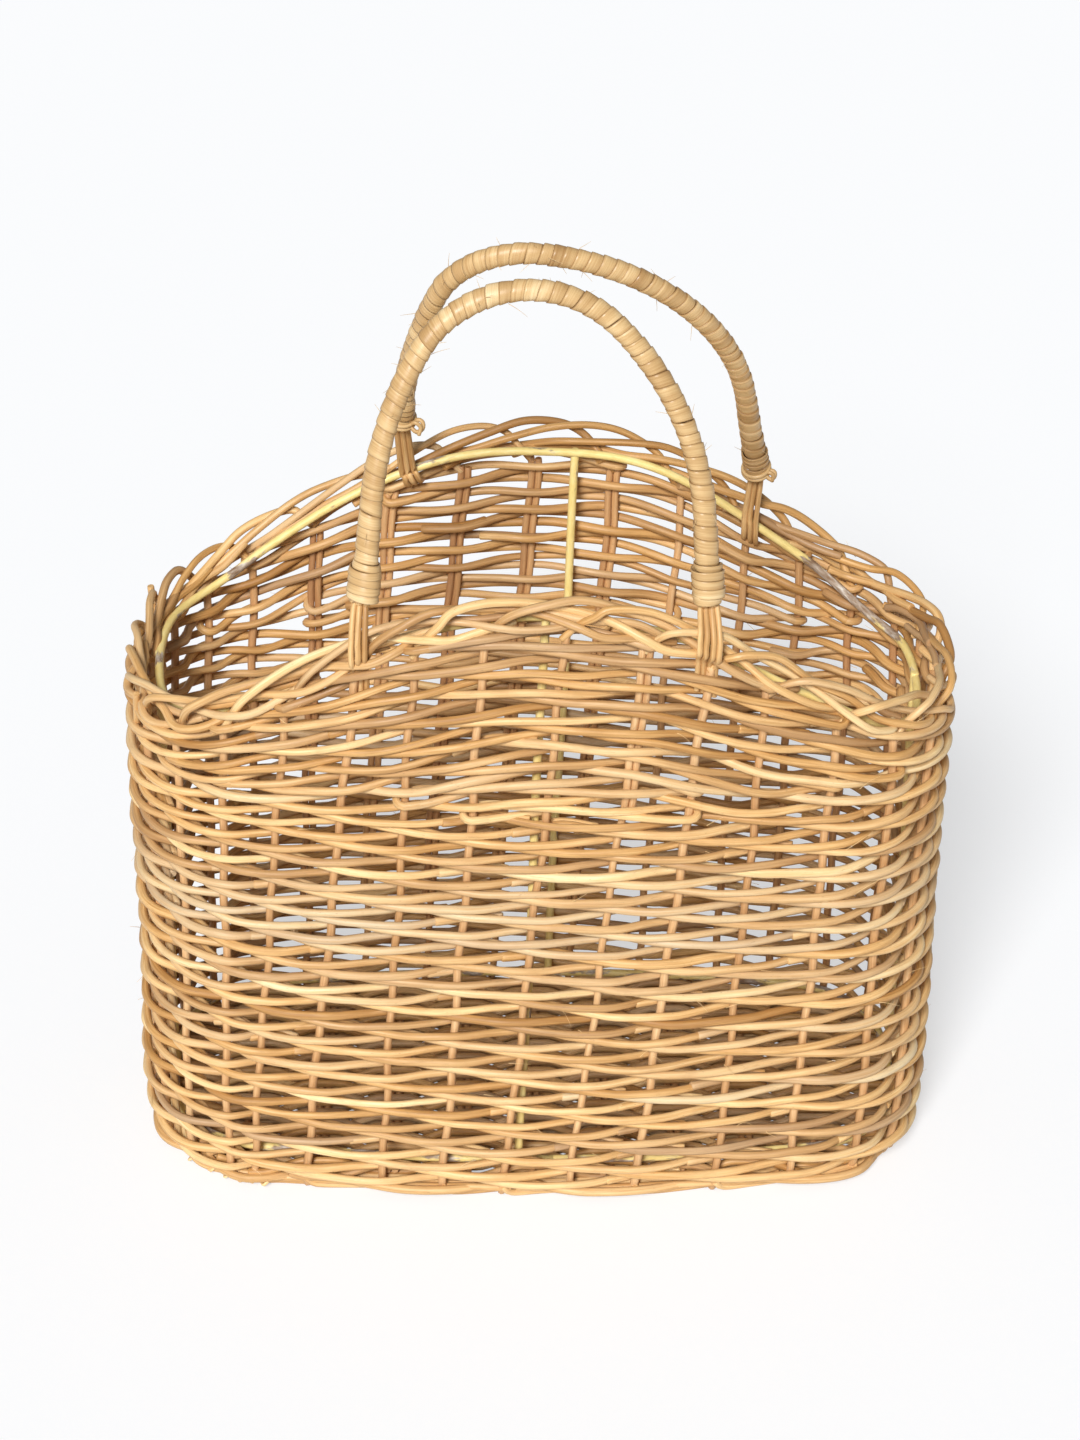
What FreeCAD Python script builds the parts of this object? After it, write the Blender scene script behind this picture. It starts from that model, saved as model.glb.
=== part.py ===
"""Woven market basket: an oblong cane basket with an arched rim, a wire frame and two hoop handles.

Millimetres, +Z up, +X along the length, front at -Y. The origin is on the floor under the middle.
The wall is three layers: upright stakes on the wall's middle line, and a woven layer on each side.
Each handle leans about an axis along X through its two feet at the rim.
"""
import FreeCAD, Part
import math
import os
import Sketcher

Vector = FreeCAD.Vector
Rotation = FreeCAD.Rotation
Placement = FreeCAD.Placement
X_AXIS = Vector(1, 0, 0)
Y_AXIS = Vector(0, 1, 0)
Z_AXIS = Vector(0, 0, 1)

DIMENSIONS = {
    # plan of the wall's middle line: two bowed long sides, two bowed ends, four corner arcs
    "half_length": 194.5,
    "half_depth": 94.5,
    "side_bow_radius": 900,
    "end_bow_radius": 200,
    "corner_radius": 62,
    # arched rim: crown arc, straight slope, shoulder arc
    "crown_height": 340,
    "crown_radius": 185,
    "shoulder_radius": 93,
    "slope_angle": 28.8,
    "shoulder_reach": 195,
    # wall layers
    "stake_count": 33,
    "stake_diameter": 3.8,
    "stake_phase": -5.7,
    "stake_foot_height": 6.3,
    "weave_gap": 2.2,
    "weave_thickness": 3.3,
    "border_half_thickness": 6.8,
    "border_depth": 16,
    "clearance": 0.3,
    "cut_margin": 20,
    # base
    "foot_height": 6,
    "foot_outer_inset": 1,
    "foot_inner_inset": 14,
    "base_skin_thickness": 3,
    "base_inset": 6,
    "base_stick_diameter": 3.8,
    "base_stick_count": 9,
    "base_stick_spacing": 36,
    # wire frame
    "wire_diameter": 4.2,
    "wire_inset": 9.2,
    "wire_hoop_drop": 12,
    "wire_hoop_bends": 40,
    "back_wire_offset": 18,
    # handles: three canes side by side at the feet, in a triangle inside the peel wrap
    "cane_diameter": 3.5,
    "cane_spacing": 3.6,
    "foot_spacing": 4.6,
    "wrap_diameter": 11.4,
    "wrap_bore": 8.3,
    "wrap_start": 11,
    "pivot_clearance": 1.6,
    "slot_margin": 0.8,
    # front handle
    "front_pivot_height": 327,
    "front_pivot_depth": 91,
    "front_lean": 12,
    "front_peak": -5,
    "front_left_width": 74.3,
    "front_right_width": 78.3,
    "front_spring": 41,
    "front_rise": 154,
    "front_top_radius": 59.5,
    "front_left_tilt": 5.1,
    "front_right_tilt": 3.9,
    "front_tail_depth": 75,
    # back handle: its right foot is lower than its left one, and its arch is fuller on the right
    "back_pivot_centre": 21.5,
    "back_pivot_height": 324.5,
    "back_pivot_depth": 74.5,
    "back_axis_slope": 5.8,
    "back_lean": 25,
    "back_peak": -31,
    "back_left_width": 61.5,
    "back_right_width": 106,
    "back_spring": 42,
    "back_rise": 154,
    "back_top_radius": 52,
    "back_left_tilt": -6.5,
    "back_right_tilt": 8,
    "back_tail_depth": 50,
    "back_tail_bend": 0.6,
    "knot_cord_radius": 1.3,
}


def open_document():
    """Make the document and the sheet of driving dimensions."""
    doc = FreeCAD.newDocument("market_basket")
    sheet = doc.addObject("Spreadsheet::Sheet", "dims")
    for row, (name, value) in enumerate(DIMENSIONS.items(), start=1):
        sheet.set(f"A{row}", name)
        sheet.set(f"B{row}", str(value))
        sheet.setAlias(f"B{row}", name)
    doc.recompute()
    return doc, sheet


class Plan:
    """The wall's middle line seen from above, counter-clockwise from the middle of the front side."""

    def __init__(self, sheet):
        self.bow = float(sheet.side_bow_radius)
        self.end = float(sheet.end_bow_radius)
        self.corner = float(sheet.corner_radius)
        self.bow_centre = self.bow - float(sheet.half_depth)
        self.end_centre = self.end - float(sheet.half_length)
        self.corner_x, self.corner_y = self._corner_centre()
        self.side_half_angle = math.atan2(self.corner_x, self.bow_centre + self.corner_y)
        self.end_half_angle = math.atan2(self.corner_y, self.end_centre + self.corner_x)

    def _corner_centre(self):
        """Centre of the corner arc that touches the side bow and the end bow from inside."""
        far = math.hypot(self.bow_centre, self.end_centre)
        to_bow = self.bow - self.corner
        to_end = self.end - self.corner
        along = (to_bow**2 - to_end**2 + far**2) / (2 * far)
        aside = math.sqrt(to_bow**2 - along**2)
        # the line runs from the side bow's centre (0, -bow_centre) to the end bow's (-end_centre, 0)
        unit = (-self.end_centre / far, self.bow_centre / far)
        return (along * unit[0] + aside * unit[1],
                -self.bow_centre + along * unit[1] - aside * unit[0])

    def arcs(self, offset=0.0):
        """Eight arcs (centre x, centre y, radius, start angle, end angle), moved outwards by offset."""
        side = self.side_half_angle
        end = self.end_half_angle
        bow, corner, tip = self.bow + offset, self.corner + offset, self.end + offset
        down, up, left = -math.pi / 2, math.pi / 2, math.pi
        cx, cy = self.corner_x, self.corner_y
        return [
            (0, self.bow_centre, bow, down - side, down + side),
            (cx, -cy, corner, down + side, -end),
            (-self.end_centre, 0, tip, -end, end),
            (cx, cy, corner, end, up - side),
            (0, -self.bow_centre, bow, up - side, up + side),
            (-cx, cy, corner, up + side, left - end),
            (self.end_centre, 0, tip, left - end, left + end),
            (-cx, -cy, corner, left + end, left + up - side),
        ]

    def length(self, offset=0.0):
        return sum(radius * (stop - start) for _, _, radius, start, stop in self.arcs(offset))

    def point(self, distance, offset=0.0):
        """Point and outward angle at a distance along the line, from the middle of the front side."""
        arcs = self.arcs(offset)
        first = arcs[0]
        distance += first[2] * (first[4] - first[3]) / 2
        distance %= self.length(offset)
        for centre_x, centre_y, radius, start, stop in arcs:
            span = radius * (stop - start)
            if distance <= span:
                angle = start + distance / radius
                return centre_x + radius * math.cos(angle), centre_y + radius * math.sin(angle), angle
            distance -= span
        return self.point(0, offset)

    def depth_at(self, x, offset=0.0):
        """Half depth of the outline at a given x on the long sides."""
        radius = self.bow + offset
        if abs(x) <= radius * math.sin(self.side_half_angle):
            return math.sqrt(radius**2 - x**2) - self.bow_centre
        radius = self.corner + offset
        return self.corner_y + math.sqrt(radius**2 - (abs(x) - self.corner_x)**2)


class Rim:
    """Height of the arched rim along the length, the same on both long sides."""

    def __init__(self, sheet):
        self.top = float(sheet.crown_height)
        self.crown = float(sheet.crown_radius)
        self.shoulder = float(sheet.shoulder_radius)
        self.slope = math.radians(float(sheet.slope_angle))
        self.reach = float(sheet.shoulder_reach)
        self.crown_x = self.crown * math.sin(self.slope)
        self.shoulder_x = self.reach - self.shoulder * math.sin(self.slope)
        self.crown_z = self.top - self.crown * (1 - math.cos(self.slope))
        self.shoulder_z = self.crown_z - (self.shoulder_x - self.crown_x) * math.tan(self.slope)
        self.end_z = self.shoulder_z - self.shoulder * (1 - math.cos(self.slope))

    def height(self, x):
        x = abs(x)
        if x <= self.crown_x:
            return self.top - self.crown + math.sqrt(self.crown**2 - x**2)
        if x <= self.shoulder_x:
            return self.crown_z - (x - self.crown_x) * math.tan(self.slope)
        if x <= self.reach:
            return self.end_z + self.shoulder - math.sqrt(self.shoulder**2 - (self.reach - x)**2)
        return self.end_z


class Arch:
    """A handle's centre line in its own plane: two leaning legs, two side arcs and a top arc."""

    def __init__(self, sheet, name):
        def size(cell):
            return float(getattr(sheet, f"{name}_{cell}"))

        peak, spring, self.top = size("peak"), size("spring"), size("top_radius")
        self.top_centre = (peak, size("rise") - self.top)
        self.sides = {}
        lift = size("rise") - spring - self.top
        for sign, side in ((-1, "left"), (1, "right")):
            width = size(f"{side}_width")
            radius = (width**2 + lift**2 - self.top**2) / (2 * (width - self.top))
            centre = (peak + sign * (width - radius), spring)
            turn = math.atan2(lift, sign * (peak - centre[0]))
            tilt = math.radians(size(f"{side}_tilt"))
            self.sides[sign] = (centre, radius, turn, tilt)

    def foot(self, sign, height=0.0):
        """Point of a leg's centre line at a height above the pivot axis."""
        (centre_x, centre_z), radius, _, tilt = self.sides[sign]
        touch_x = centre_x + sign * radius * math.cos(tilt)
        touch_z = centre_z + radius * math.sin(tilt)
        return touch_x + sign * (touch_z - height) * math.tan(tilt)

    def edges(self, offset=0.0, start=0.0, depth=0.0):
        """Edges from the left leg to the right leg, moved outwards by offset, at a depth along Y."""

        def at(centre, radius, sign, angle):
            return Vector(centre[0] + sign * radius * math.cos(angle), depth,
                          centre[1] + radius * math.sin(angle))

        def leg_start(sign):
            tilt = self.sides[sign][3]
            return Vector(self.foot(sign, start) + sign * offset * math.cos(tilt), depth,
                          start + offset * math.sin(tilt))

        def side(sign):
            centre, radius, turn, tilt = self.sides[sign]
            radius += offset
            touch = at(centre, radius, sign, tilt)
            middle = at(centre, radius, sign, (tilt + turn) / 2)
            joint = at(centre, radius, sign, turn)
            return touch, middle, joint

        left_touch, left_middle, left_joint = side(-1)
        right_touch, right_middle, right_joint = side(1)
        crown = Vector(self.top_centre[0], depth, self.top_centre[1] + self.top + offset)
        return [
            Part.LineSegment(leg_start(-1), left_touch).toShape(),
            Part.Arc(left_touch, left_middle, left_joint).toShape(),
            Part.Arc(left_joint, crown, right_joint).toShape(),
            Part.Arc(right_joint, right_middle, right_touch).toShape(),
            Part.LineSegment(right_touch, leg_start(1)).toShape(),
        ]


def origin_plane(body, role):
    """One of a body's own origin planes, such as XY_Plane."""
    return next(item for item in body.Origin.OriginFeatures if item.Role == role)


def add_body(doc, name):
    body = doc.addObject("PartDesign::Body", name)
    body.Label = name
    return body


def add_sketch(body, name, role="XY_Plane", shift=Placement()):
    """A sketch on one of the body's origin planes, moved within that plane's frame by shift."""
    sketch = body.newObject("Sketcher::SketchObject", name)
    sketch.AttachmentSupport = [(origin_plane(body, role), "")]
    sketch.MapMode = "FlatFace"
    sketch.AttachmentOffset = shift
    return sketch


def bind_radius(sketch, geometry, value, expression):
    index = sketch.addConstraint(Sketcher.Constraint("Radius", geometry, value))
    sketch.setExpression(f"Constraints[{index}]", expression)


def draw_outline(sketch, plan, offset):
    """The wall's plan outline as eight tangent arcs, parallel to the middle line at an offset."""
    cells = ["side_bow_radius", "corner_radius", "end_bow_radius", "corner_radius"] * 2
    for cell, (centre_x, centre_y, radius, start, stop) in zip(cells, plan.arcs(offset)):
        circle = Part.Circle(Vector(centre_x, centre_y, 0), Z_AXIS, radius)
        arc = sketch.addGeometry(Part.ArcOfCircle(circle, start, stop), False)
        bind_radius(sketch, arc, radius, f"dims.{cell} + {offset}")


def draw_path(sketch, edges):
    """Edges that lie in the XZ plane, drawn in a sketch on that plane."""
    for edge in edges:
        curve = edge.Curve
        first, last = (edge.valueAt(value) for value in edge.ParameterRange)
        start, stop = Vector(first.x, first.z, 0), Vector(last.x, last.z, 0)
        if isinstance(curve, Part.Line):
            sketch.addGeometry(Part.LineSegment(start, stop), False)
        else:
            middle = edge.valueAt(sum(edge.ParameterRange) / 2)
            sketch.addGeometry(Part.Arc(start, Vector(middle.x, middle.z, 0), stop), False)


def rim_edges(rim, drop, reach):
    """The rim's profile lowered by drop, from -reach to +reach, as edges in the XZ plane."""

    def at(x):
        return Vector(x, 0, rim.height(x) - drop)

    def arc(first, last):
        return Part.Arc(at(first), at((first + last) / 2), at(last)).toShape()

    def line(first, last):
        return Part.LineSegment(at(first), at(last)).toShape()

    return [
        line(-reach, -rim.reach), arc(-rim.reach, -rim.shoulder_x), line(-rim.shoulder_x, -rim.crown_x),
        arc(-rim.crown_x, rim.crown_x),
        line(rim.crown_x, rim.shoulder_x), arc(rim.shoulder_x, rim.reach), line(rim.reach, reach),
    ]


def cut_with_rim(body, sheet, rim, name, drop, keep_below):
    """Cut a body along the rim's profile lowered by drop, and keep what is below or above it."""
    margin = float(sheet.cut_margin)
    reach = rim.reach + margin
    edges = rim_edges(rim, drop, reach)
    level = rim.top + margin if keep_below else -margin
    ends = [Vector(reach, 0, rim.end_z - drop), Vector(reach, 0, level),
            Vector(-reach, 0, level), Vector(-reach, 0, rim.end_z - drop)]
    edges += [Part.LineSegment(a, b).toShape() for a, b in zip(ends, ends[1:])]
    sketch = add_sketch(body, f"{name}_profile", "XZ_Plane")
    draw_path(sketch, edges)
    pocket = body.newObject("PartDesign::Pocket", name)
    pocket.Profile = sketch
    pocket.SideType = "Symmetric"
    pocket.Length = 2 * reach


def ring_body(doc, plan, name, outer, inner, height, base=0.0):
    """A ring between two offsets of the plan outline, from base up by a height taken from the sheet."""
    body = add_body(doc, name)
    sketch = add_sketch(body, f"{name}_plan", shift=Placement(Vector(0, 0, base), Rotation()))
    draw_outline(sketch, plan, outer)
    if inner is not None:
        draw_outline(sketch, plan, inner)
    pad = body.newObject("PartDesign::Pad", f"{name}_pad")
    pad.Profile = sketch
    pad.setExpression("Length", height)
    return body


def rounded_path(points, closed=False):
    """Straight runs between points, joined by tangent arcs as large as the shorter run allows."""
    count = len(points)
    corners = range(count) if closed else range(1, count - 1)
    trims = {}
    for index in corners:
        before, here, after = points[index - 1], points[index], points[(index + 1) % count]
        reach = 0.45 * min((before - here).Length, (after - here).Length)
        inward, outward = (before - here).normalize(), (after - here).normalize()
        enter, leave = here + inward * reach, here + outward * reach
        half_turn = (math.pi - inward.getAngle(outward)) / 2
        bisector = (inward + outward).normalize()
        sagitta = reach * math.tan(half_turn / 2)
        middle = here + bisector * (reach * math.sin(half_turn) - sagitta * math.cos(half_turn))
        trims[index] = (enter, middle, leave)
    edges = []
    runs = range(count) if closed else range(count - 1)
    for index in runs:
        following = (index + 1) % count
        start = trims[index][2] if index in trims else points[index]
        stop = trims[following][0] if following in trims else points[following]
        edges.append(Part.LineSegment(start, stop).toShape())
        if following in trims:
            edges.append(Part.Arc(*trims[following]).toShape())
    return edges


def sweep_round(edges, diameter):
    """A round bar along edges that are tangent to each other."""
    path = Part.Wire(edges)
    first = edges[0]
    start = first.valueAt(first.FirstParameter)
    section = Part.Wire(Part.Circle(start, first.tangentAt(first.FirstParameter), diameter / 2).toShape())
    return path.makePipeShell([section], True, False)


def add_shape(doc, name, shape, placement=Placement()):
    feature = doc.addObject("Part::Feature", name)
    feature.Label = name
    feature.Shape = shape
    feature.Placement = placement
    return feature


def add_cylinder(doc, name, radius, height, placement):
    """A straight round cane or wire whose sizes are expressions of the sheet."""
    cylinder = doc.addObject("Part::Cylinder", name)
    cylinder.Label = name
    cylinder.setExpression("Radius", radius)
    cylinder.setExpression("Height", height)
    cylinder.Placement = placement
    return cylinder


def build_base(doc, sheet, plan):
    """Foot border on the floor, and above it the base sticks between two woven layers."""
    inset = -float(sheet.base_inset)
    gap = float(sheet.clearance)
    skin = float(sheet.base_skin_thickness)
    diameter = float(sheet.base_stick_diameter)
    lower = float(sheet.foot_height) + gap
    stick_level = lower + skin + gap + diameter / 2
    upper = stick_level + diameter / 2 + gap
    parts = [
        ring_body(doc, plan, "foot_border", -float(sheet.foot_outer_inset), -float(sheet.foot_inner_inset),
                  "dims.foot_height"),
        ring_body(doc, plan, "base_weave_lower", inset, None, "dims.base_skin_thickness", lower),
        ring_body(doc, plan, "base_weave_upper", inset, None, "dims.base_skin_thickness", upper),
    ]
    sticks = []
    count = int(sheet.base_stick_count)
    for index in range(count):
        x = (index - (count - 1) / 2) * float(sheet.base_stick_spacing)
        half = plan.depth_at(x, inset) - gap
        placement = Placement(Vector(x, half, stick_level), Rotation(X_AXIS, 90))
        stick = doc.addObject("Part::Cylinder", f"stick_{index + 1}")
        stick.setExpression("Radius", "dims.base_stick_diameter / 2")
        stick.Height = 2 * half
        stick.Placement = placement
        sticks.append(stick)
    group = doc.addObject("Part::Compound", "base_sticks")
    group.Label = "base_sticks"
    group.Links = sticks
    return parts + [group]


def build_stakes(doc, sheet, plan, rim):
    """Upright canes evenly round the middle line, from the foot border to under the rim border."""
    count = int(sheet.stake_count)
    spacing = plan.length() / count
    foot = float(sheet.stake_foot_height)
    stakes = []
    for index in range(count):
        x, y, _ = plan.point(float(sheet.stake_phase) + index * spacing)
        height = (f"dims.crown_height - {rim.top - rim.height(x):.3f} - dims.border_depth"
                  " - 3 * dims.clearance - dims.stake_foot_height")
        stakes.append(add_cylinder(doc, f"stake_{index + 1:02d}", "dims.stake_diameter / 2", height,
                                   Placement(Vector(x, y, foot), Rotation())))
    return stakes


def build_wall(doc, sheet, plan, rim):
    """The woven layers outside and inside the stakes, cut to the arched rim."""
    near = float(sheet.weave_gap)
    far = near + float(sheet.weave_thickness)
    base = float(sheet.stake_foot_height)
    layers = []
    for name, outer, inner in (("outer_weave", far, near), ("inner_weave", -near, -far)):
        body = ring_body(doc, plan, name, outer, inner, "dims.crown_height", base)
        drop = float(sheet.border_depth) + float(sheet.clearance)
        cut_with_rim(body, sheet, rim, f"{name}_rim_cut", drop, True)
        layers.append(body)
    return layers


def cane_row(sheet, arch, sign):
    """X positions of the three canes at a handle's foot, in the handle's own frame."""
    centre = arch.foot(sign)
    return [centre + step * float(sheet.foot_spacing) for step in (-1, 0, 1)]


def build_border(doc, sheet, plan, rim, arch):
    """The rolled border along the rim, with a slot for the canes of each foot of the front handle."""
    half = float(sheet.border_half_thickness)
    border = ring_body(doc, plan, "rim_border", half, -half, "dims.crown_height")
    cut_with_rim(border, sheet, rim, "rim_border_top_cut", 0, True)
    cut_with_rim(border, sheet, rim, "rim_border_under_cut", float(sheet.border_depth), False)
    slots = add_sketch(border, "rim_border_slots")
    cane = float(sheet.cane_diameter)
    margin = float(sheet.slot_margin)
    half_wide = float(sheet.foot_spacing) + cane / 2 + margin
    half_deep = cane / 2 + margin
    for sign in (-1, 1):
        x = arch.foot(sign)
        y = -plan.depth_at(x)
        corners = [Vector(x - half_wide, y - half_deep, 0), Vector(x + half_wide, y - half_deep, 0),
                   Vector(x + half_wide, y + half_deep, 0), Vector(x - half_wide, y + half_deep, 0)]
        for start, stop in zip(corners, corners[1:] + corners[:1]):
            slots.addGeometry(Part.LineSegment(start, stop), False)
    pocket = border.newObject("PartDesign::Pocket", "rim_border_slot_cut")
    pocket.Profile = slots
    pocket.SideType = "Symmetric"
    pocket.setExpression("Length", "2 * (dims.crown_height + dims.cut_margin)")
    return border


def build_wires(doc, sheet, plan, rim):
    """The painted wire frame: two hoops inside the wall and four uprights between them."""
    inset = -float(sheet.wire_inset)
    diameter = float(sheet.wire_diameter)
    drop = float(sheet.wire_hoop_drop)
    base_top = (float(sheet.foot_height) + 4 * float(sheet.clearance) + 2 * float(sheet.base_skin_thickness)
                + float(sheet.base_stick_diameter))
    base_level = base_top + diameter / 2
    base_edges = []
    for centre_x, centre_y, radius, start, stop in plan.arcs(inset):
        circle = Part.Circle(Vector(centre_x, centre_y, base_level), Z_AXIS, radius)
        base_edges.append(Part.ArcOfCircle(circle, start, stop).toShape())
    parts = [add_shape(doc, "wire_base_hoop", sweep_round(base_edges, diameter))]

    count = int(sheet.wire_hoop_bends)
    spacing = plan.length(inset) / count
    points = []
    for index in range(count):
        x, y, _ = plan.point((index + 0.5) * spacing, inset)
        points.append(Vector(x, y, rim.height(x) - drop))
    parts.append(add_shape(doc, "wire_top_hoop", sweep_round(rounded_path(points, closed=True), diameter)))

    foot = base_level + diameter / 2
    half_length = float(sheet.half_length) + inset
    half_depth = float(sheet.half_depth) + inset
    back_x = float(sheet.back_wire_offset)
    for side, x, y in (("front", 0, -half_depth), ("back", back_x, half_depth),
                       ("left", -half_length, 0), ("right", half_length, 0)):
        top_drop = rim.top - rim.height(x) + drop + diameter / 2 + 2 * float(sheet.clearance)
        parts.append(add_cylinder(doc, f"wire_upright_{side}", "dims.wire_diameter / 2",
                                  f"dims.crown_height - {top_drop + foot:.3f}",
                                  Placement(Vector(x, y, foot), Rotation())))
    return parts


def triangle(sheet):
    """Offsets of the three canes inside the wrap: outwards from the arch, and along Y."""
    ring = float(sheet.cane_spacing) / math.sqrt(3)
    return [(ring * math.cos(math.radians(turn)), ring * math.sin(math.radians(turn)))
            for turn in (210, 90, 330)]


def add_wrap(doc, sheet, name, arch, placement):
    """The peel wrap of a handle, a hollow bar along the arch."""
    start = float(sheet.wrap_start)
    body = add_body(doc, name)
    path = add_sketch(body, f"{name}_path", "XZ_Plane")
    draw_path(path, arch.edges(start=start))
    tilt = math.degrees(arch.sides[-1][3])
    shift = Placement(Vector(arch.foot(-1, start), 0, start), Rotation(Y_AXIS, tilt))
    section = add_sketch(body, f"{name}_section", shift=shift)
    for cell in ("wrap_diameter", "wrap_bore"):
        radius = float(getattr(sheet, cell)) / 2
        circle = section.addGeometry(Part.Circle(Vector(), Z_AXIS, radius), False)
        bind_radius(section, circle, radius, f"dims.{cell} / 2")
    pipe = body.newObject("PartDesign::AdditivePipe", f"{name}_pipe")
    pipe.Profile = section
    pipe.Spine = path
    body.Placement = placement
    return body


def build_handle(doc, sheet, name, arch, placement):
    """The leaning part of a handle: wrap, canes inside it, and the bare canes down to the axis."""
    start = float(sheet.wrap_start)
    diameter = float(sheet.cane_diameter)
    parts = [add_wrap(doc, sheet, f"{name}_handle_wrap", arch, placement)]
    canes = [sweep_round(arch.edges(offset, start, depth), diameter) for offset, depth in triangle(sheet)]
    parts.append(add_shape(doc, f"{name}_handle_canes", Part.makeCompound(canes), placement))
    for sign, side in ((-1, "left"), (1, "right")):
        legs = []
        top = start - 2 * float(sheet.clearance)
        for x, (offset, depth) in zip(cane_row(sheet, arch, sign), triangle(sheet)):
            low = Vector(x, 0, 0)
            high = Vector(arch.foot(sign, top) + offset, depth, top)
            legs.append(Part.makeCylinder(diameter / 2, (high - low).Length, low, high - low))
        parts.append(add_shape(doc, f"{name}_handle_leg_{side}", Part.makeCompound(legs), placement))
    return parts


def build_front_tails(doc, sheet, plan, arch):
    """The ends of the front handle's canes, which go down between the two woven layers."""
    top = float(sheet.front_pivot_height) - float(sheet.pivot_clearance)
    parts = []
    for sign, side in ((-1, "left"), (1, "right")):
        canes = []
        for number, x in enumerate(cane_row(sheet, arch, sign), start=1):
            cane = doc.addObject("Part::Cylinder", f"front_tail_{side}_cane_{number}")
            cane.setExpression("Radius", "dims.cane_diameter / 2")
            cane.setExpression("Height", "dims.front_tail_depth")
            cane.Placement = Placement(Vector(x, -plan.depth_at(x), top - float(sheet.front_tail_depth)),
                                       Rotation())
            canes.append(cane)
        group = doc.addObject("Part::Compound", f"front_handle_tail_{side}")
        group.Label = group.Name
        group.Links = canes
        parts.append(group)
    return parts


def build_back_tails(doc, sheet, plan, rim, arch, placement):
    """The ends of the back handle's canes, which hang inside the wall and bend out into the weave."""
    diameter = float(sheet.cane_diameter)
    wall = float(sheet.weave_gap) + float(sheet.weave_thickness) + float(sheet.clearance) + diameter
    parts = []
    for sign, side in ((-1, "left"), (1, "right")):
        canes = []
        for local_x in cane_row(sheet, arch, sign):
            top = placement.multVec(Vector(local_x, 0, 0)) - Z_AXIS * float(sheet.pivot_clearance)
            end = Vector(top.x, plan.depth_at(top.x) - wall,
                         rim.height(top.x) - float(sheet.back_tail_depth))
            bend = Vector(top.x, top.y, top.z + (end.z - top.z) * float(sheet.back_tail_bend))
            canes.append(sweep_round(rounded_path([top, bend, end]), diameter))
        parts.append(add_shape(doc, f"back_handle_tail_{side}", Part.makeCompound(canes)))
    return parts


def build_knots(doc, sheet, arch, placement):
    """A turn of peel tied round each end of the back handle's wrap."""
    cord = float(sheet.knot_cord_radius)
    ring = float(sheet.wrap_diameter) / 2 + cord + float(sheet.clearance)
    level = float(sheet.wrap_start) + 2 * cord
    parts = []
    for sign, side in ((-1, "left"), (1, "right")):
        knot = doc.addObject("Part::Torus", f"back_handle_knot_{side}")
        knot.Label = knot.Name
        knot.Radius1 = ring
        knot.setExpression("Radius2", "dims.knot_cord_radius")
        tilt = -sign * math.degrees(arch.sides[sign][3])
        local = Placement(Vector(arch.foot(sign, level), 0, level), Rotation(Y_AXIS, tilt))
        knot.Placement = placement * local
        parts.append(knot)
    return parts


def write_parts(doc, parts):
    """Check every object and every sub-part, then write one file for each sub-part."""
    for item in doc.Objects:
        bad = [state for state in item.State if state in ("Invalid", "Error")]
        if bad:
            raise RuntimeError(f"{item.Name}: {bad}")
    for part in parts:
        if part.Shape.isNull() or not part.Shape.isValid() or part.Shape.Volume <= 0:
            raise RuntimeError(f"{part.Label}: the shape is not a valid solid")
    os.makedirs("parts", exist_ok=True)
    for part in parts:
        part.Shape.exportStep(f"parts/{part.Label}.step")


def main():
    doc, sheet = open_document()
    plan = Plan(sheet)
    rim = Rim(sheet)
    front_arch = Arch(sheet, "front")
    back_arch = Arch(sheet, "back")
    front_place = Placement(Vector(0, -float(sheet.front_pivot_depth), float(sheet.front_pivot_height)),
                            Rotation(X_AXIS, -float(sheet.front_lean)))
    back_place = Placement(Vector(float(sheet.back_pivot_centre), float(sheet.back_pivot_depth),
                                  float(sheet.back_pivot_height)),
                           Rotation(Y_AXIS, float(sheet.back_axis_slope))
                           * Rotation(X_AXIS, float(sheet.back_lean)))
    parts = build_base(doc, sheet, plan)
    parts += build_stakes(doc, sheet, plan, rim)
    parts += build_wall(doc, sheet, plan, rim)
    parts.append(build_border(doc, sheet, plan, rim, front_arch))
    parts += build_wires(doc, sheet, plan, rim)
    parts += build_handle(doc, sheet, "front", front_arch, front_place)
    parts += build_front_tails(doc, sheet, plan, front_arch)
    parts += build_handle(doc, sheet, "back", back_arch, back_place)
    parts += build_back_tails(doc, sheet, plan, rim, back_arch, back_place)
    parts += build_knots(doc, sheet, back_arch, back_place)
    doc.recompute()
    write_parts(doc, parts)
    for part in parts:
        box = part.Shape.BoundBox
        print(f"{part.Label}: {part.Shape.Volume:.0f} mm3, z {box.ZMin:.1f} to {box.ZMax:.1f}")


main()
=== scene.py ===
"""Woven market basket: the looks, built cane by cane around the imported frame.

Lengths in the code are millimetres in the frame's axes: +X along the basket, front at -Y, +Z up.
They become metres when a mesh is made. A position round the wall is a distance s along its middle
line, counter-clockwise from the middle of the front, or a stake coordinate u (0 to 33).
"""

import math

import bpy
import numpy as np
from mathutils import Matrix, Vector


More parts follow.
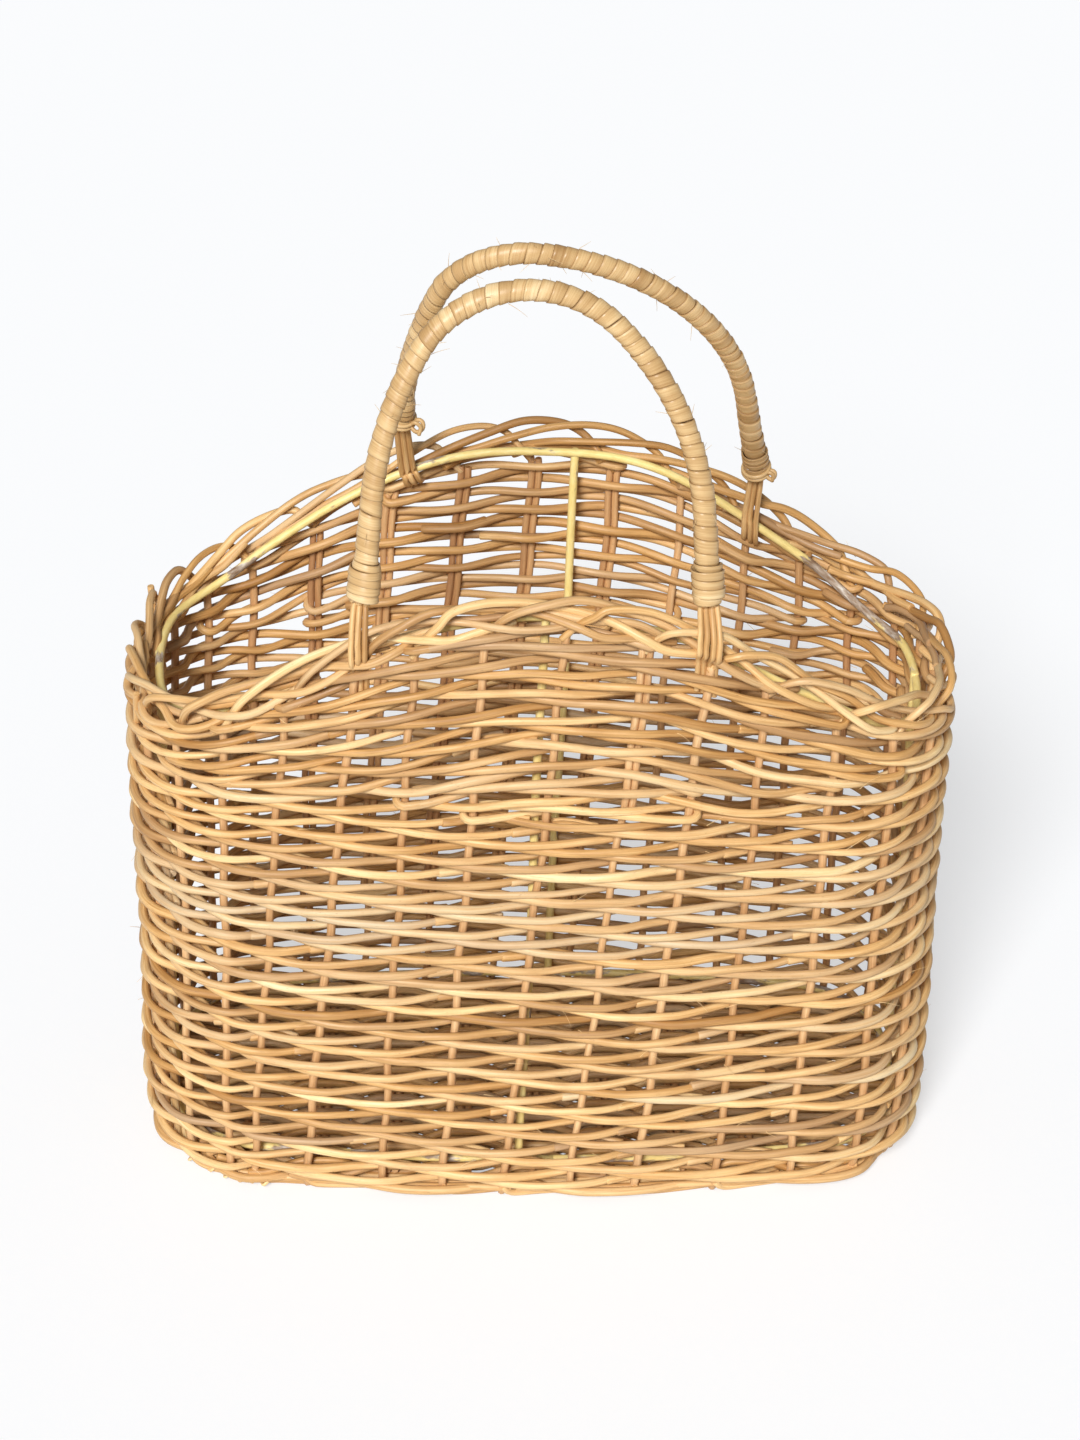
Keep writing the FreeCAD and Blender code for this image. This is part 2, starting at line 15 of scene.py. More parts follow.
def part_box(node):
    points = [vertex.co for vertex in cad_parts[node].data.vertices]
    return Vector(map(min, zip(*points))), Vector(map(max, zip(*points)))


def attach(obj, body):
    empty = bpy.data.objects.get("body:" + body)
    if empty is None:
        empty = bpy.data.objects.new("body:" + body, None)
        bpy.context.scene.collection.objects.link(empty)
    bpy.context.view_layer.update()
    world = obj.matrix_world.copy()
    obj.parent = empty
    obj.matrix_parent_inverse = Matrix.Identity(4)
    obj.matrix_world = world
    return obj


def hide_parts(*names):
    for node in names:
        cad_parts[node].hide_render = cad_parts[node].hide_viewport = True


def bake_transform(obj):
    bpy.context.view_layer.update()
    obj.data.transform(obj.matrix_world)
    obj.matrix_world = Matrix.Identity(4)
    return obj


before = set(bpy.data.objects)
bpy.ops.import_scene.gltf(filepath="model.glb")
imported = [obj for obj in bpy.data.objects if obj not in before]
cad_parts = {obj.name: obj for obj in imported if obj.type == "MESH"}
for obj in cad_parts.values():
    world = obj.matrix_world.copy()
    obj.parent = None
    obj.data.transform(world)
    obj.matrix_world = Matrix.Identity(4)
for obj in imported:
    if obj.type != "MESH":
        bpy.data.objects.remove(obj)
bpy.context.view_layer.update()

MM = 0.001
TAU = 2 * math.pi

# wall plan and rim, as in the part
HALF_LENGTH, HALF_DEPTH = 194.5, 94.5
SIDE_BOW, END_BOW, CORNER = 900.0, 200.0, 62.0
CROWN_HEIGHT, CROWN_RADIUS, SHOULDER_RADIUS = 340.0, 185.0, 93.0
RIM_SLOPE, RIM_REACH = math.radians(28.8), 195.0
BORDER_DEPTH = 16.0

# canes of the wall
STAKE_RADIUS, STRAND_RADIUS = 1.85, 2.05
LEVEL_ROWS, FIRST_ROW, FIRST_PITCH, PITCH_LOSS = 43, 6.5, 5.37, 0.0087
SAMPLES = 9  # points on a strand for each stake it passes
ACROSS_STAKE = (0.3, 1, 0)

# how far inside the wall's middle the foot and the wires lie
FOOT_INSET, WIRE_INSET = 7.0, 9.2
WIRE_RADIUS = 2.1


def smooth(value):
    """Smoothstep of a value clipped to 0..1."""
    value = np.clip(value, 0.0, 1.0)
    return value * value * (3 - 2 * value)


def unit(vectors):
    """Vectors scaled to length 1."""
    return vectors / np.maximum(np.linalg.norm(vectors, axis=-1, keepdims=True), 1e-9)


class Plan:
    """The wall's middle line from above: eight tangent arcs, traced once into a table."""

    def __init__(self):
        bow_centre, end_centre = SIDE_BOW - HALF_DEPTH, END_BOW - HALF_LENGTH
        far = math.hypot(bow_centre, end_centre)
        to_bow, to_end = SIDE_BOW - CORNER, END_BOW - CORNER
        along = (to_bow**2 - to_end**2 + far**2) / (2 * far)
        aside = math.sqrt(to_bow**2 - along**2)
        cx = -along * end_centre / far + aside * bow_centre / far
        cy = -bow_centre + along * bow_centre / far + aside * end_centre / far
        side = math.atan2(cx, bow_centre + cy)
        end = math.atan2(cy, end_centre + cx)
        down, up, left = -math.pi / 2, math.pi / 2, math.pi
        arcs = [
            (0, bow_centre, SIDE_BOW, down, down + side), (cx, -cy, CORNER, down + side, -end),
            (-end_centre, 0, END_BOW, -end, end), (cx, cy, CORNER, end, up - side),
            (0, -bow_centre, SIDE_BOW, up - side, up + side), (-cx, cy, CORNER, up + side, left - end),
            (end_centre, 0, END_BOW, left - end, left + end),
            (-cx, -cy, CORNER, left + end, left + up - side),
            (0, bow_centre, SIDE_BOW, left + up - side, left + up),
        ]
        s, x, y, turn, run = [], [], [], [], 0.0
        for centre_x, centre_y, radius, start, stop in arcs:
            angles = np.linspace(start, stop, 160)
            s.append(run + radius * (angles - start))
            x.append(centre_x + radius * np.cos(angles))
            y.append(centre_y + radius * np.sin(angles))
            turn.append(angles)
            run += radius * (stop - start)
        self.s, self.x, self.y, self.turn = (np.concatenate(a) for a in (s, x, y, turn))
        self.length = run

    def at(self, s):
        """x, y and outward angle at distances s along the line."""
        s = np.asarray(s, float)
        laps = np.floor(s / self.length)
        rest = s - laps * self.length
        return (np.interp(rest, self.s, self.x), np.interp(rest, self.s, self.y),
                np.interp(rest, self.s, self.turn))

    def place(self, s, out, z):
        """Points at distances s, moved outwards by out, at heights z."""
        x, y, turn = self.at(s)
        return np.stack([x + out * np.cos(turn), y + out * np.sin(turn), z + 0 * x], axis=-1)

    def s_at(self, x, back=False):
        """Distance along the line of the point with a given x on the front or the back."""
        half = self.length / 2
        quarter = self.s <= self.length / 4
        s = np.interp(abs(x), self.x[quarter], self.s[quarter]) * (1 if x >= 0 else -1)
        return half - s if back else s


def rim_height(x):
    """Height of the arched rim along the length."""
    x = np.abs(x)
    crown_x = CROWN_RADIUS * math.sin(RIM_SLOPE)
    shoulder_x = RIM_REACH - SHOULDER_RADIUS * math.sin(RIM_SLOPE)
    crown_z = CROWN_HEIGHT - CROWN_RADIUS * (1 - math.cos(RIM_SLOPE))
    shoulder_z = crown_z - (shoulder_x - crown_x) * math.tan(RIM_SLOPE)
    end_z = shoulder_z - SHOULDER_RADIUS * (1 - math.cos(RIM_SLOPE))
    crown = CROWN_HEIGHT - CROWN_RADIUS + np.sqrt(np.maximum(CROWN_RADIUS**2 - x**2, 0))
    slope = crown_z - (x - crown_x) * math.tan(RIM_SLOPE)
    shoulder = end_z + SHOULDER_RADIUS - np.sqrt(np.maximum(SHOULDER_RADIUS**2 - (RIM_REACH - x)**2, 0))
    return np.where(x <= crown_x, crown, np.where(x <= shoulder_x, slope,
                                                  np.where(x <= RIM_REACH, shoulder, end_z)))


def draw(rng, mean, spread, low, high):
    """A seeded normal value, kept between two limits."""
    return float(np.clip(rng.normal(mean, spread), low, high))


class Ripple:
    """Smooth random waviness round the wall: a few waves with seeded phases."""

    def __init__(self, seed, lengths, length, size):
        rng = np.random.default_rng(seed)
        self.waves = [max(1, round(length / wave)) for wave in lengths]
        self.phase = rng.uniform(0, TAU, len(lengths))
        self.rise = rng.uniform(-1, 1, len(lengths)) * TAU / 160
        self.size = size / math.sqrt(len(lengths) / 2)
        self.length = length

    def at(self, s, z=0.0):
        total = 0
        for waves, phase, rise in zip(self.waves, self.phase, self.rise):
            total = total + np.cos(TAU * waves * np.asarray(s) / self.length + rise * z + phase)
        return total * self.size


PLAN = Plan()


# the stakes' places are given at this height, and their leans over this much below it
LEAN_TOP, LEAN_RUN = 266, 235
END_STAKES = 7


class Stakes:
    """Where the stakes stand: each leans a little, and the spacing is uneven."""

    def __init__(self):
        # front right, back, front left: x of each stake, how far its foot is shifted, whether it is at
        # the back, and laps to add
        sides = (([6, 44, 74, 104, 139, 167], [-20, -23, -22, -12, -10, -5], False, 0),
                 ([106, 71, 36, -5, -41, -76, -112, -144], [6, 12, 16, 17, 17, 15, 10, 5], True, 0),
                 ([-150, -121, -90, -62, -30], [-4, -19, -23, -14, -15], False, 1))
        top, lean = [], []
        for places, leans, back, laps in sides:
            here = [PLAN.s_at(x, back) + laps * PLAN.length for x in places]
            if top:
                # evenly spread ones go round the end of the basket
                top += list(np.linspace(top[-1], here[0], END_STAKES + 2)[1:-1])
                lean += list(np.linspace(lean[-1], leans[0], END_STAKES + 2)[1:-1])
            top += here
            lean += leans
        self.count = len(top)
        self.top = np.array(top)
        self.lean = np.array(lean, float)
        self.doubled = {1, 15, 16, 17, 18, 19}

    def s(self, u, z):
        """Distance along the wall of a stake coordinate at a height."""
        u = np.asarray(u, float)
        share = np.clip((LEAN_TOP - np.asarray(z, float)) / LEAN_RUN, -0.2, 1.1)
        laps = np.floor(u / self.count)
        rest = u - laps * self.count
        index = np.arange(self.count + 1)
        top = np.append(self.top, self.top[0] + PLAN.length)
        lean = np.append(self.lean, self.lean[0])
        return np.interp(rest, index, top) + laps * PLAN.length + share * np.interp(rest, index, lean)


STAKES = Stakes()
COUNT = STAKES.count
WALL_WAVE = Ripple(3, (330, 210, 140), PLAN.length, 1.0)


def wall_out(s, z):
    """How far the wall's middle surface stands off the plan line: in at the foot, a little uneven."""
    return -FOOT_INSET * np.exp(-np.maximum(z, 0) / 9) + WALL_WAVE.at(s, z) * smooth(np.asarray(z) / 60)


# --- mesh building ---

class Canes:
    """Round canes gathered into one closed mesh, each with its own grain and tint."""

    def __init__(self, sides=8):
        self.sides = sides
        self.points, self.quads, self.caps, self.grain, self.tint = [], [], [], [], []
        self.count = 0
        self.total = 0

    def add(self, path, radius, across=None, tone=0.5, grey=0.0, start=0.8, stop=0.8):
        """One cane along a path. across is a direction that the path never runs along."""
        path = np.asarray(path, float)
        radius = np.broadcast_to(np.asarray(radius, float), (len(path),)).copy()
        grey = np.broadcast_to(np.asarray(grey, float), (len(path),))
        tone = np.broadcast_to(np.asarray(tone, float), (len(path),))
        grey, tone = (np.repeat(np.concatenate([v[:1], v, v[-1:]]), self.sides) for v in (grey, tone))
        tangent = unit(np.gradient(path, axis=0))
        path = np.concatenate([[path[0] - tangent[0] * radius[0] * 0.25], path,
                               [path[-1] + tangent[-1] * radius[-1] * 0.25]])
        radius = np.concatenate([[radius[0] * start], radius, [radius[-1] * stop]])
        tangent = np.concatenate([tangent[:1], tangent, tangent[-1:]])
        if across is None:
            first, second = transport(tangent)
        else:
            first = unit(np.cross(tangent, np.broadcast_to(across, tangent.shape)))
            second = np.cross(first, tangent)
        turn = np.arange(self.sides) * TAU / self.sides
        ring = (np.cos(turn)[None, :, None] * second[:, None, :]
                + np.sin(turn)[None, :, None] * first[:, None, :])
        points = path[:, None, :] + radius[:, None, None] * ring
        rows = len(path)
        steps = np.linalg.norm(np.diff(path, axis=0), axis=1)
        # each cane starts at its own place in the grain
        along = np.concatenate([[0], np.cumsum(steps)])
        along = along + 1700.0 * ((self.total * 0.618) % 1) + 37 * self.total
        grain = np.empty((rows, self.sides, 3))
        grain[..., 0] = along[:, None]
        grain[..., 1] = radius[:, None] * np.cos(turn)
        grain[..., 2] = radius[:, None] * np.sin(turn)
        quads, caps = tube_faces(rows, self.sides, self.count)
        self.points.append(points.reshape(-1, 3))
        self.quads.append(quads)
        self.caps.append(caps)
        self.grain.append(grain.reshape(-1, 3))
        tint = np.empty((rows * self.sides, 3))
        tint[:, 0], tint[:, 1], tint[:, 2] = tone, grey, (self.total * 0.379) % 1
        self.tint.append(tint)
        self.count += rows * self.sides
        self.total += 1

    def build(self, name, material):
        return build_mesh(name, np.concatenate(self.points), np.concatenate(self.quads),
                          np.concatenate(self.caps), np.concatenate(self.grain),
                          np.concatenate(self.tint), material)


def tube_faces(rows, sides, base=0):
    """The quads along a tube made of rings of points, and the caps of its two ends."""
    index = base + np.arange(rows * sides).reshape(rows, sides)
    after = np.roll(index, -1, axis=1)
    quads = np.stack([index[:-1], after[:-1], after[1:], index[1:]], axis=-1).reshape(-1, 4)
    return quads, np.stack([index[0][::-1], index[-1]])


def transport(tangent):
    """Two directions across a path that turn with it as little as possible."""
    start = np.array([0, 0, 1.0]) if abs(tangent[0][2]) < 0.9 else np.array([1.0, 0, 0])
    first = unit(np.cross(tangent[0], start))
    firsts = [first]
    for here in tangent[1:]:
        first = first - here * np.dot(first, here)
        first = first / max(np.linalg.norm(first), 1e-9)
        firsts.append(first)
    firsts = np.array(firsts)
    return firsts, np.cross(firsts, tangent)


def add_object(name, data):
    """An object in the scene, for a mesh, a light or a camera."""
    obj = bpy.data.objects.new(name, data)
    bpy.context.scene.collection.objects.link(obj)
    return obj


def build_mesh(name, points, quads, caps, grain, tint, material):
    """An object from points in mm, quads and end caps, with its grain and tint stored on the mesh."""
    mesh = bpy.data.meshes.new(name)
    mesh.vertices.add(len(points))
    mesh.vertices.foreach_set("co", (points * MM).astype(np.float32).ravel())
    loops = np.concatenate([quads.ravel(), caps.ravel()]).astype(np.int32)
    sizes = np.concatenate([np.full(len(quads), 4), np.full(len(caps), caps.shape[1])])
    starts = np.concatenate([[0], np.cumsum(sizes)[:-1]]).astype(np.int32)
    mesh.loops.add(len(loops))
    mesh.loops.foreach_set("vertex_index", loops)
    mesh.polygons.add(len(sizes))
    mesh.polygons.foreach_set("loop_start", starts)
    smooth_faces = np.ones(len(sizes), bool)
    smooth_faces[len(quads):] = False
    mesh.polygons.foreach_set("use_smooth", smooth_faces)
    for label, values in (("grain", grain * MM), ("tint", tint)):
        attribute = mesh.attributes.new(label, "FLOAT_VECTOR", "POINT")
        attribute.data.foreach_set("vector", values.astype(np.float32).ravel())
    mesh.update(calc_edges=True)
    mesh.validate()
    mesh.materials.append(material)
    return add_object(name, mesh)


def curve(points, spacing=2.0):
    """A smooth Catmull-Rom path through points, resampled about every spacing mm."""
    points = np.asarray(points, float)
    padded = np.concatenate([[2 * points[0] - points[1]], points, [2 * points[-1] - points[-2]]])
    pieces = []
    for index in range(1, len(padded) - 2):
        a, b, c, d = padded[index - 1:index + 3]
        count = max(2, int(np.linalg.norm(c - b) / spacing) + 1)
        t = np.linspace(0, 1, count, endpoint=False)[:, None]
        pieces.append(0.5 * (2 * b + (c - a) * t + (2 * a - 5 * b + 4 * c - d) * t**2
                             + (3 * b - a - 3 * c + d) * t**3))
    pieces.append(points[-1:])
    return np.concatenate(pieces)


# --- materials ---

class Nodes:
    """Small helper to lay out a material's nodes."""

    def __init__(self, name):
        self.material = bpy.data.materials.new(name)
        self.material.use_nodes = True
        self.tree = self.material.node_tree
        self.tree.nodes.clear()
        self.shader = self.add("ShaderNodeBsdfPrincipled")
        output = self.add("ShaderNodeOutputMaterial")
        self.link(self.shader.outputs["BSDF"], output.inputs["Surface"])

    def add(self, kind, **settings):
        node = self.tree.nodes.new(kind)
        for key, value in settings.items():
            setattr(node, key, value)
        return node

    def link(self, source, target):
        self.tree.links.new(source, target)

    def attribute(self, name):
        return self.add("ShaderNodeAttribute", attribute_name=name).outputs["Vector"]

    def split(self, vector):
        node = self.add("ShaderNodeSeparateXYZ")
        self.link(vector, node.inputs[0])
        return node.outputs

    def noise(self, vector, scale, detail, roughness, shift=(0, 0, 0)):
        mapping = self.add("ShaderNodeMapping")
        self.link(vector, mapping.inputs["Vector"])
        mapping.inputs["Scale"].default_value = scale
        mapping.inputs["Location"].default_value = shift
        node = self.add("ShaderNodeTexNoise")
        self.link(mapping.outputs[0], node.inputs["Vector"])
        node.inputs["Scale"].default_value = 1.0
        node.inputs["Detail"].default_value = detail
        node.inputs["Roughness"].default_value = roughness
        return node.outputs["Fac"]

    def range(self, value, low, high, to_low=0.0, to_high=1.0):
        node = self.add("ShaderNodeMapRange")
        self.link(value, node.inputs["Value"])
        for key, number in (("From Min", low), ("From Max", high), ("To Min", to_low), ("To Max", to_high)):
            node.inputs[key].default_value = number
        return node.outputs[0]

    def math(self, kind, first, second):
        node = self.add("ShaderNodeMath", operation=kind)
        for slot, value in zip(node.inputs, (first, second)):
            if isinstance(value, (int, float)):
                slot.default_value = value
            else:
                self.link(value, slot)
        return node.outputs[0]

    def mix(self, factor, first, second, blend="MIX"):
        node = self.add("ShaderNodeMix", data_type="RGBA", blend_type=blend)
        for slot, value in ((node.inputs[0], factor), (node.inputs[6], first), (node.inputs[7], second)):
            if isinstance(value, (int, float)):
                slot.default_value = value
            elif isinstance(value, tuple):
                slot.default_value = (*value, 1.0)
            else:
                self.link(value, slot)
        return node.outputs[2]

    def ramp(self, value, stops):
        node = self.add("ShaderNodeValToRGB")
        self.link(value, node.inputs[0])
        elements = node.color_ramp.elements
        while len(elements) < len(stops):
            elements.new(0.5)
        for element, (place, colour) in zip(elements, stops):
            element.position = place
            element.color = (*colour, 1.0)
        return node.outputs[0]

    def finish(self, colour, roughness):
        self.link(colour, self.shader.inputs["Base Color"])
        self.link(roughness, self.shader.inputs["Roughness"])

    def bump(self, height, strength, distance):
        node = self.add("ShaderNodeBump")
        node.inputs["Strength"].default_value = strength
        node.inputs["Distance"].default_value = distance
        self.link(height, node.inputs["Height"])
        self.link(node.outputs[0], self.shader.inputs["Normal"])


def cane_material(name, tones, grey_colour, rough=(0.42, 0.62)):
    """Peeled cane: a tone for each strand, long fibres, darker patches, weathered grey and pores."""
    n = Nodes(name)
    grain = n.attribute("grain")
    tone, grey, _ = n.split(n.attribute("tint"))
    long_patch = n.noise(grain, (14, 60, 60), 3, 0.55)
    patch = n.noise(grain, (70, 260, 260), 3, 0.6, (3, 1, 2))
    fibre = n.noise(grain, (95, 3200, 3200), 3, 0.65, (7, 5, 1))
    streak = n.noise(grain, (24, 900, 900), 2, 0.6, (1, 9, 4))
    place = n.math("ADD", tone, n.range(long_patch, 0.25, 0.75, -0.22, 0.22))
    place = n.math("ADD", place, n.range(streak, 0.3, 0.7, -0.19, 0.19))
    colour = n.ramp(place, tones)
    colour = n.mix(n.range(patch, 0.52, 0.8, 0.0, 0.34), colour, tones[0][1])
    colour = n.mix(n.range(fibre, 0.42, 0.72, 0.0, 0.30), colour, (0.42, 0.20, 0.07), "MULTIPLY")
    weather = n.math("MULTIPLY", grey, n.range(streak, 0.3, 0.65, 0.55, 1.0))
    colour = n.mix(weather, colour, grey_colour)
    pore = n.noise(grain, (420, 2400, 2400), 1, 0.5, (2, 8, 3))
    colour = n.mix(n.range(pore, 0.68, 0.8, 0.0, 0.45), colour, (0.16, 0.085, 0.035))
    n.finish(colour, n.range(patch, 0.3, 0.7, *rough))
    n.bump(n.math("ADD", n.math("MULTIPLY", fibre, 0.6), n.math("MULTIPLY", patch, 0.9)), 0.45, 0.00035)
    return n.material


def peel_material():
    """Flat peel: pale, with fine lines along the strip, darker towards its edges."""
    n = Nodes("peel_wrap")
    grain = n.attribute("grain")
    tone, edge, _ = n.split(n.attribute("tint"))
    line = n.noise(grain, (26, 1250, 60), 3, 0.6, (1, 4, 2))
    patch = n.noise(grain, (45, 160, 160), 3, 0.6)
    place = n.math("ADD", tone, n.range(patch, 0.25, 0.75, -0.3, 0.3))
    colour = n.ramp(place, [(0.0, (0.43, 0.26, 0.105)), (0.35, (0.57, 0.375, 0.17)),
                            (0.7, (0.69, 0.485, 0.24)), (1.0, (0.82, 0.63, 0.36))])
    colour = n.mix(n.range(line, 0.4, 0.7, 0.0, 0.5), colour, (0.58, 0.38, 0.18), "MULTIPLY")
    colour = n.mix(n.range(edge, 0.8, 1.0, 0.0, 0.75), colour, (0.26, 0.13, 0.045))
    n.finish(colour, n.range(patch, 0.3, 0.7, 0.34, 0.5))
    n.bump(line, 0.35, 0.0002)
    return n.material


def wire_material():
    """Pale yellow paint on iron wire, thin and lumpy, worn through in places."""
    n = Nodes("painted_wire")
    grain = n.attribute("grain")
    tone, wear, _ = n.split(n.attribute("tint"))
    lump = n.noise(grain, (130, 420, 420), 3, 0.6)
    patch = n.noise(grain, (38, 120, 120), 4, 0.65, (4, 1, 7))
    paint = n.ramp(n.math("ADD", tone, n.range(lump, 0.3, 0.7, -0.2, 0.2)),
                   [(0.0, (0.62, 0.44, 0.12)), (0.5, (0.86, 0.68, 0.26)), (1.0, (0.93, 0.82, 0.45))])
    bare = n.ramp(lump, [(0.35, (0.22, 0.13, 0.07)), (0.55, (0.42, 0.34, 0.27)), (0.7, (0.66, 0.62, 0.56))])
    worn = n.range(n.math("ADD", patch, n.math("MULTIPLY", wear, 0.5)), 0.66, 0.72)
    n.finish(n.mix(worn, paint, bare), n.range(worn, 0, 1, 0.45, 0.75))
    n.bump(lump, 0.5, 0.0005)
    return n.material


HONEY = [(0.0, (0.42, 0.21, 0.06)), (0.3, (0.62, 0.355, 0.125)), (0.55, (0.78, 0.50, 0.215)),
         (0.8, (0.88, 0.63, 0.305)), (1.0, (0.95, 0.75, 0.42))]
PINK = [(0.0, (0.42, 0.20, 0.075)), (0.3, (0.58, 0.32, 0.13)), (0.6, (0.72, 0.435, 0.20)),
        (1.0, (0.86, 0.60, 0.32))]
WEATHERED = (0.50, 0.415, 0.31)
weave_finish = cane_material("woven_cane", HONEY, WEATHERED)
stake_finish = cane_material("stake_cane", PINK, WEATHERED)
border_finish = cane_material("border_cane", HONEY, WEATHERED, (0.38, 0.58))
handle_finish = cane_material("handle_cane", HONEY, WEATHERED)
peel_finish = peel_material()
wire_finish = wire_material()


# --- the wall's rows ---

class Cycle:
    """A smooth curve that repeats every three stakes, through given points."""

    def __init__(self, places, values, waves):
        dense = np.linspace(0, 3, 120, endpoint=False)
        wanted = np.interp(dense, places, values, period=3)
        self.waves = waves
        self.weights = np.linalg.lstsq(self.terms(dense), wanted, rcond=None)[0]

    def terms(self, p):
        turn = TAU * np.asarray(p, float) / 3
        columns = [np.ones_like(turn)]
        for wave in range(1, self.waves + 1):
            columns += [np.cos(wave * turn), np.sin(wave * turn)]
        return np.stack(columns, axis=-1)

    def at(self, p):
        return self.terms(p) @ self.weights


# a strand passes behind the stake at 0 and in front of those at 1 and 2. It climbs steeply behind the
# first, comes out high, and sinks as it runs along in front
OUT_OF_WALL = Cycle((0, 0.3, 0.66, 1, 1.37, 1.8, 2, 2.25, 2.5, 2.75),
                    (-4.0, -2.4, 1.7, 3.9, 4.9, 5.2, 4.9, 3.2, 0.4, -2.6), 5)
LIFT = Cycle((0, 0.12, 0.3, 0.66, 1, 1.37, 1.8, 2, 2.5, 2.85),
             (-0.6, 0.6, 1.35, 1.2, 0.45, -0.3, -0.35, -0.3, -1.1, -1.75), 5)


# the rows above the level ones: F goes right round, a number is a pair of short rows that turns back
# where the rim has risen that far above its ends
ARCH_ORDER = ["F", 65, "F", 45, "F", 25, "F", 5, "F", "F", "F", "F", 15, 35, 55]
LAST_PAIRS = (15, 35, 55)  # these follow one another with no full row between them
TURN_LENGTH = 40.0
TURN_LEVEL = 270  # about how high the short rows turn back


def level_height(index):
    """Height of a level row: the pitch gets a little smaller from row to row."""
    return FIRST_ROW + FIRST_PITCH * index - PITCH_LOSS * index**2


class Stack:
    """The order of the rows, their phases, where the short ones turn back, and every row's height."""

    def __init__(self):
        self.rows = []
        phase = 0
        for _ in range(LEVEL_ROWS):
            self.rows.append({"kind": "full", "phase": phase})
            phase += 1
        among_last = False
        for item in ARCH_ORDER:
            if item == "F":
                self.rows.append({"kind": "full", "phase": phase})
                phase += 1
                among_last = False
                continue
            first = phase if among_last else phase + 1
            for step in (0, 1):
                self.rows.append({"kind": "short", "phase": first + step, "rise": item, "step": step})
            among_last = item in LAST_PAIRS
            if among_last:
                phase = first + 2
        self.base = float(level_height(LEVEL_ROWS - 0.5))
        for index, row in enumerate(self.rows):
            if row["kind"] == "short" and row["step"] == 0:
                ends = {side: self._ends(row, side) for side in ("front", "back")}
                row["ends"] = self.rows[index + 1]["ends"] = ends

    def _ends(self, row, side):
        """The stakes (left and right, as u) round which a pair of rows turns on one side."""
        middle = 0.0 if side == "front" else COUNT / 2 + 0.1
        end_z = float(rim_height(RIM_REACH))
        found = []
        for way in (-1, 1):
            best, best_gap = None, math.inf
            for step in range(1, 9):
                u = round(middle) + way * step
                if (u + row["phase"]) % 3 == 1:
                    continue
                rise = float(rim_height(PLAN.at(STAKES.s(u, TURN_LEVEL))[0])) - end_z
                gap = abs(rise - row["rise"])
                if gap < best_gap:
                    best, best_gap = u, gap
            found.append(best)
        return tuple(sorted(found))

    def weights(self, index, s):
        """How fully a row is present at points round the wall."""
        row = self.rows[index]
        if row["kind"] == "full":
            return np.ones(len(s))
        x, y, _ = PLAN.at(s)
        total = np.zeros(len(s))
        for side, sign in (("front", -1), ("back", 1)):
            first, last = (float(PLAN.at(STAKES.s(u, TURN_LEVEL))[0]) for u in row["ends"][side])
            low, high = min(first, last), max(first, last)
            here = (smooth((x - low + 1.1 * TURN_LENGTH) / (2 * TURN_LENGTH))
                    * smooth((high + 1.1 * TURN_LENGTH - x) / (2 * TURN_LENGTH)))
            total = total + here * (np.sign(y) == sign)
        return total

    def height(self, index, s):
        """Height of a row's middle line at points round the wall."""
        if index < LEVEL_ROWS:
            return np.full(len(s), level_height(index))
        all_weights = np.array([self.weights(i, s) for i in range(LEVEL_ROWS, len(self.rows))])
        place = index - LEVEL_ROWS
        below = all_weights[:place].sum(0) + 0.5 * all_weights[place]
        top = rim_height(PLAN.at(s)[0]) - BORDER_DEPTH + 0.8
        return self.base + (top - self.base) * below / all_weights.sum(0)


STACK = Stack()
SHARED_WAVE = Ripple(11, (330, 240, 150), PLAN.length, 0.45)
ROW_SLOPE = 1.7


def grey_at(z, rng):
    """How weathered a strand is: a greyer band across the middle of the wall, and odd grey strands."""
    band = math.exp(-((z - 166) / 20) ** 2)
    return draw(rng, 0.10 + 0.42 * band, 0.16, 0, 0.85)


def backness(s):
    """0 on the front wall, 1 on the back wall."""
    return smooth((PLAN.at(s)[1] + 40) / 90)


def row_path(index, u, rng, size=1.0):
    """Points of a row's cane over stake coordinates u, with how far round its weave it is."""
    row = STACK.rows[index]
    s = STAKES.s(u, level_height(index) if index < LEVEL_ROWS else 280)
    z = STACK.height(index, s)
    s = STAKES.s(u, z)
    z = STACK.height(index, s)
    p = np.mod(u + row["phase"], 3)
    own = Ripple(int(rng.integers(1e9)), (190, 105, 62, 38), PLAN.length, 0.24)
    slope = -ROW_SLOPE * np.sin(2 * TAU * s / PLAN.length) * smooth(z / 50) * smooth((290 - z) / 60)
    calm = 1 - 0.3 * smooth((z - 215) / 30) - 0.42 * backness(s)
    swing = float(rng.normal(1.0, 0.12)) * calm
    z = z + SHARED_WAVE.at(s, z) * smooth(z / 40) + own.at(s) + slope + LIFT.at(p) * swing
    out = wall_out(s, z) + OUT_OF_WALL.at(p) * size
    deep = Ripple(int(rng.integers(1e9)), (140, 80, 45), PLAN.length, 0.2)
    return s, out + deep.at(s), z


def cane_radius(rng, count):
    """Thickness along one cane: its own size, with slow swells."""
    size = STRAND_RADIUS * draw(rng, 1.0, 0.07, 0.84, 1.15)
    wave = np.interp(np.linspace(0, 1, count), np.linspace(0, 1, 12), rng.normal(1, 0.035, 12))
    return size * wave


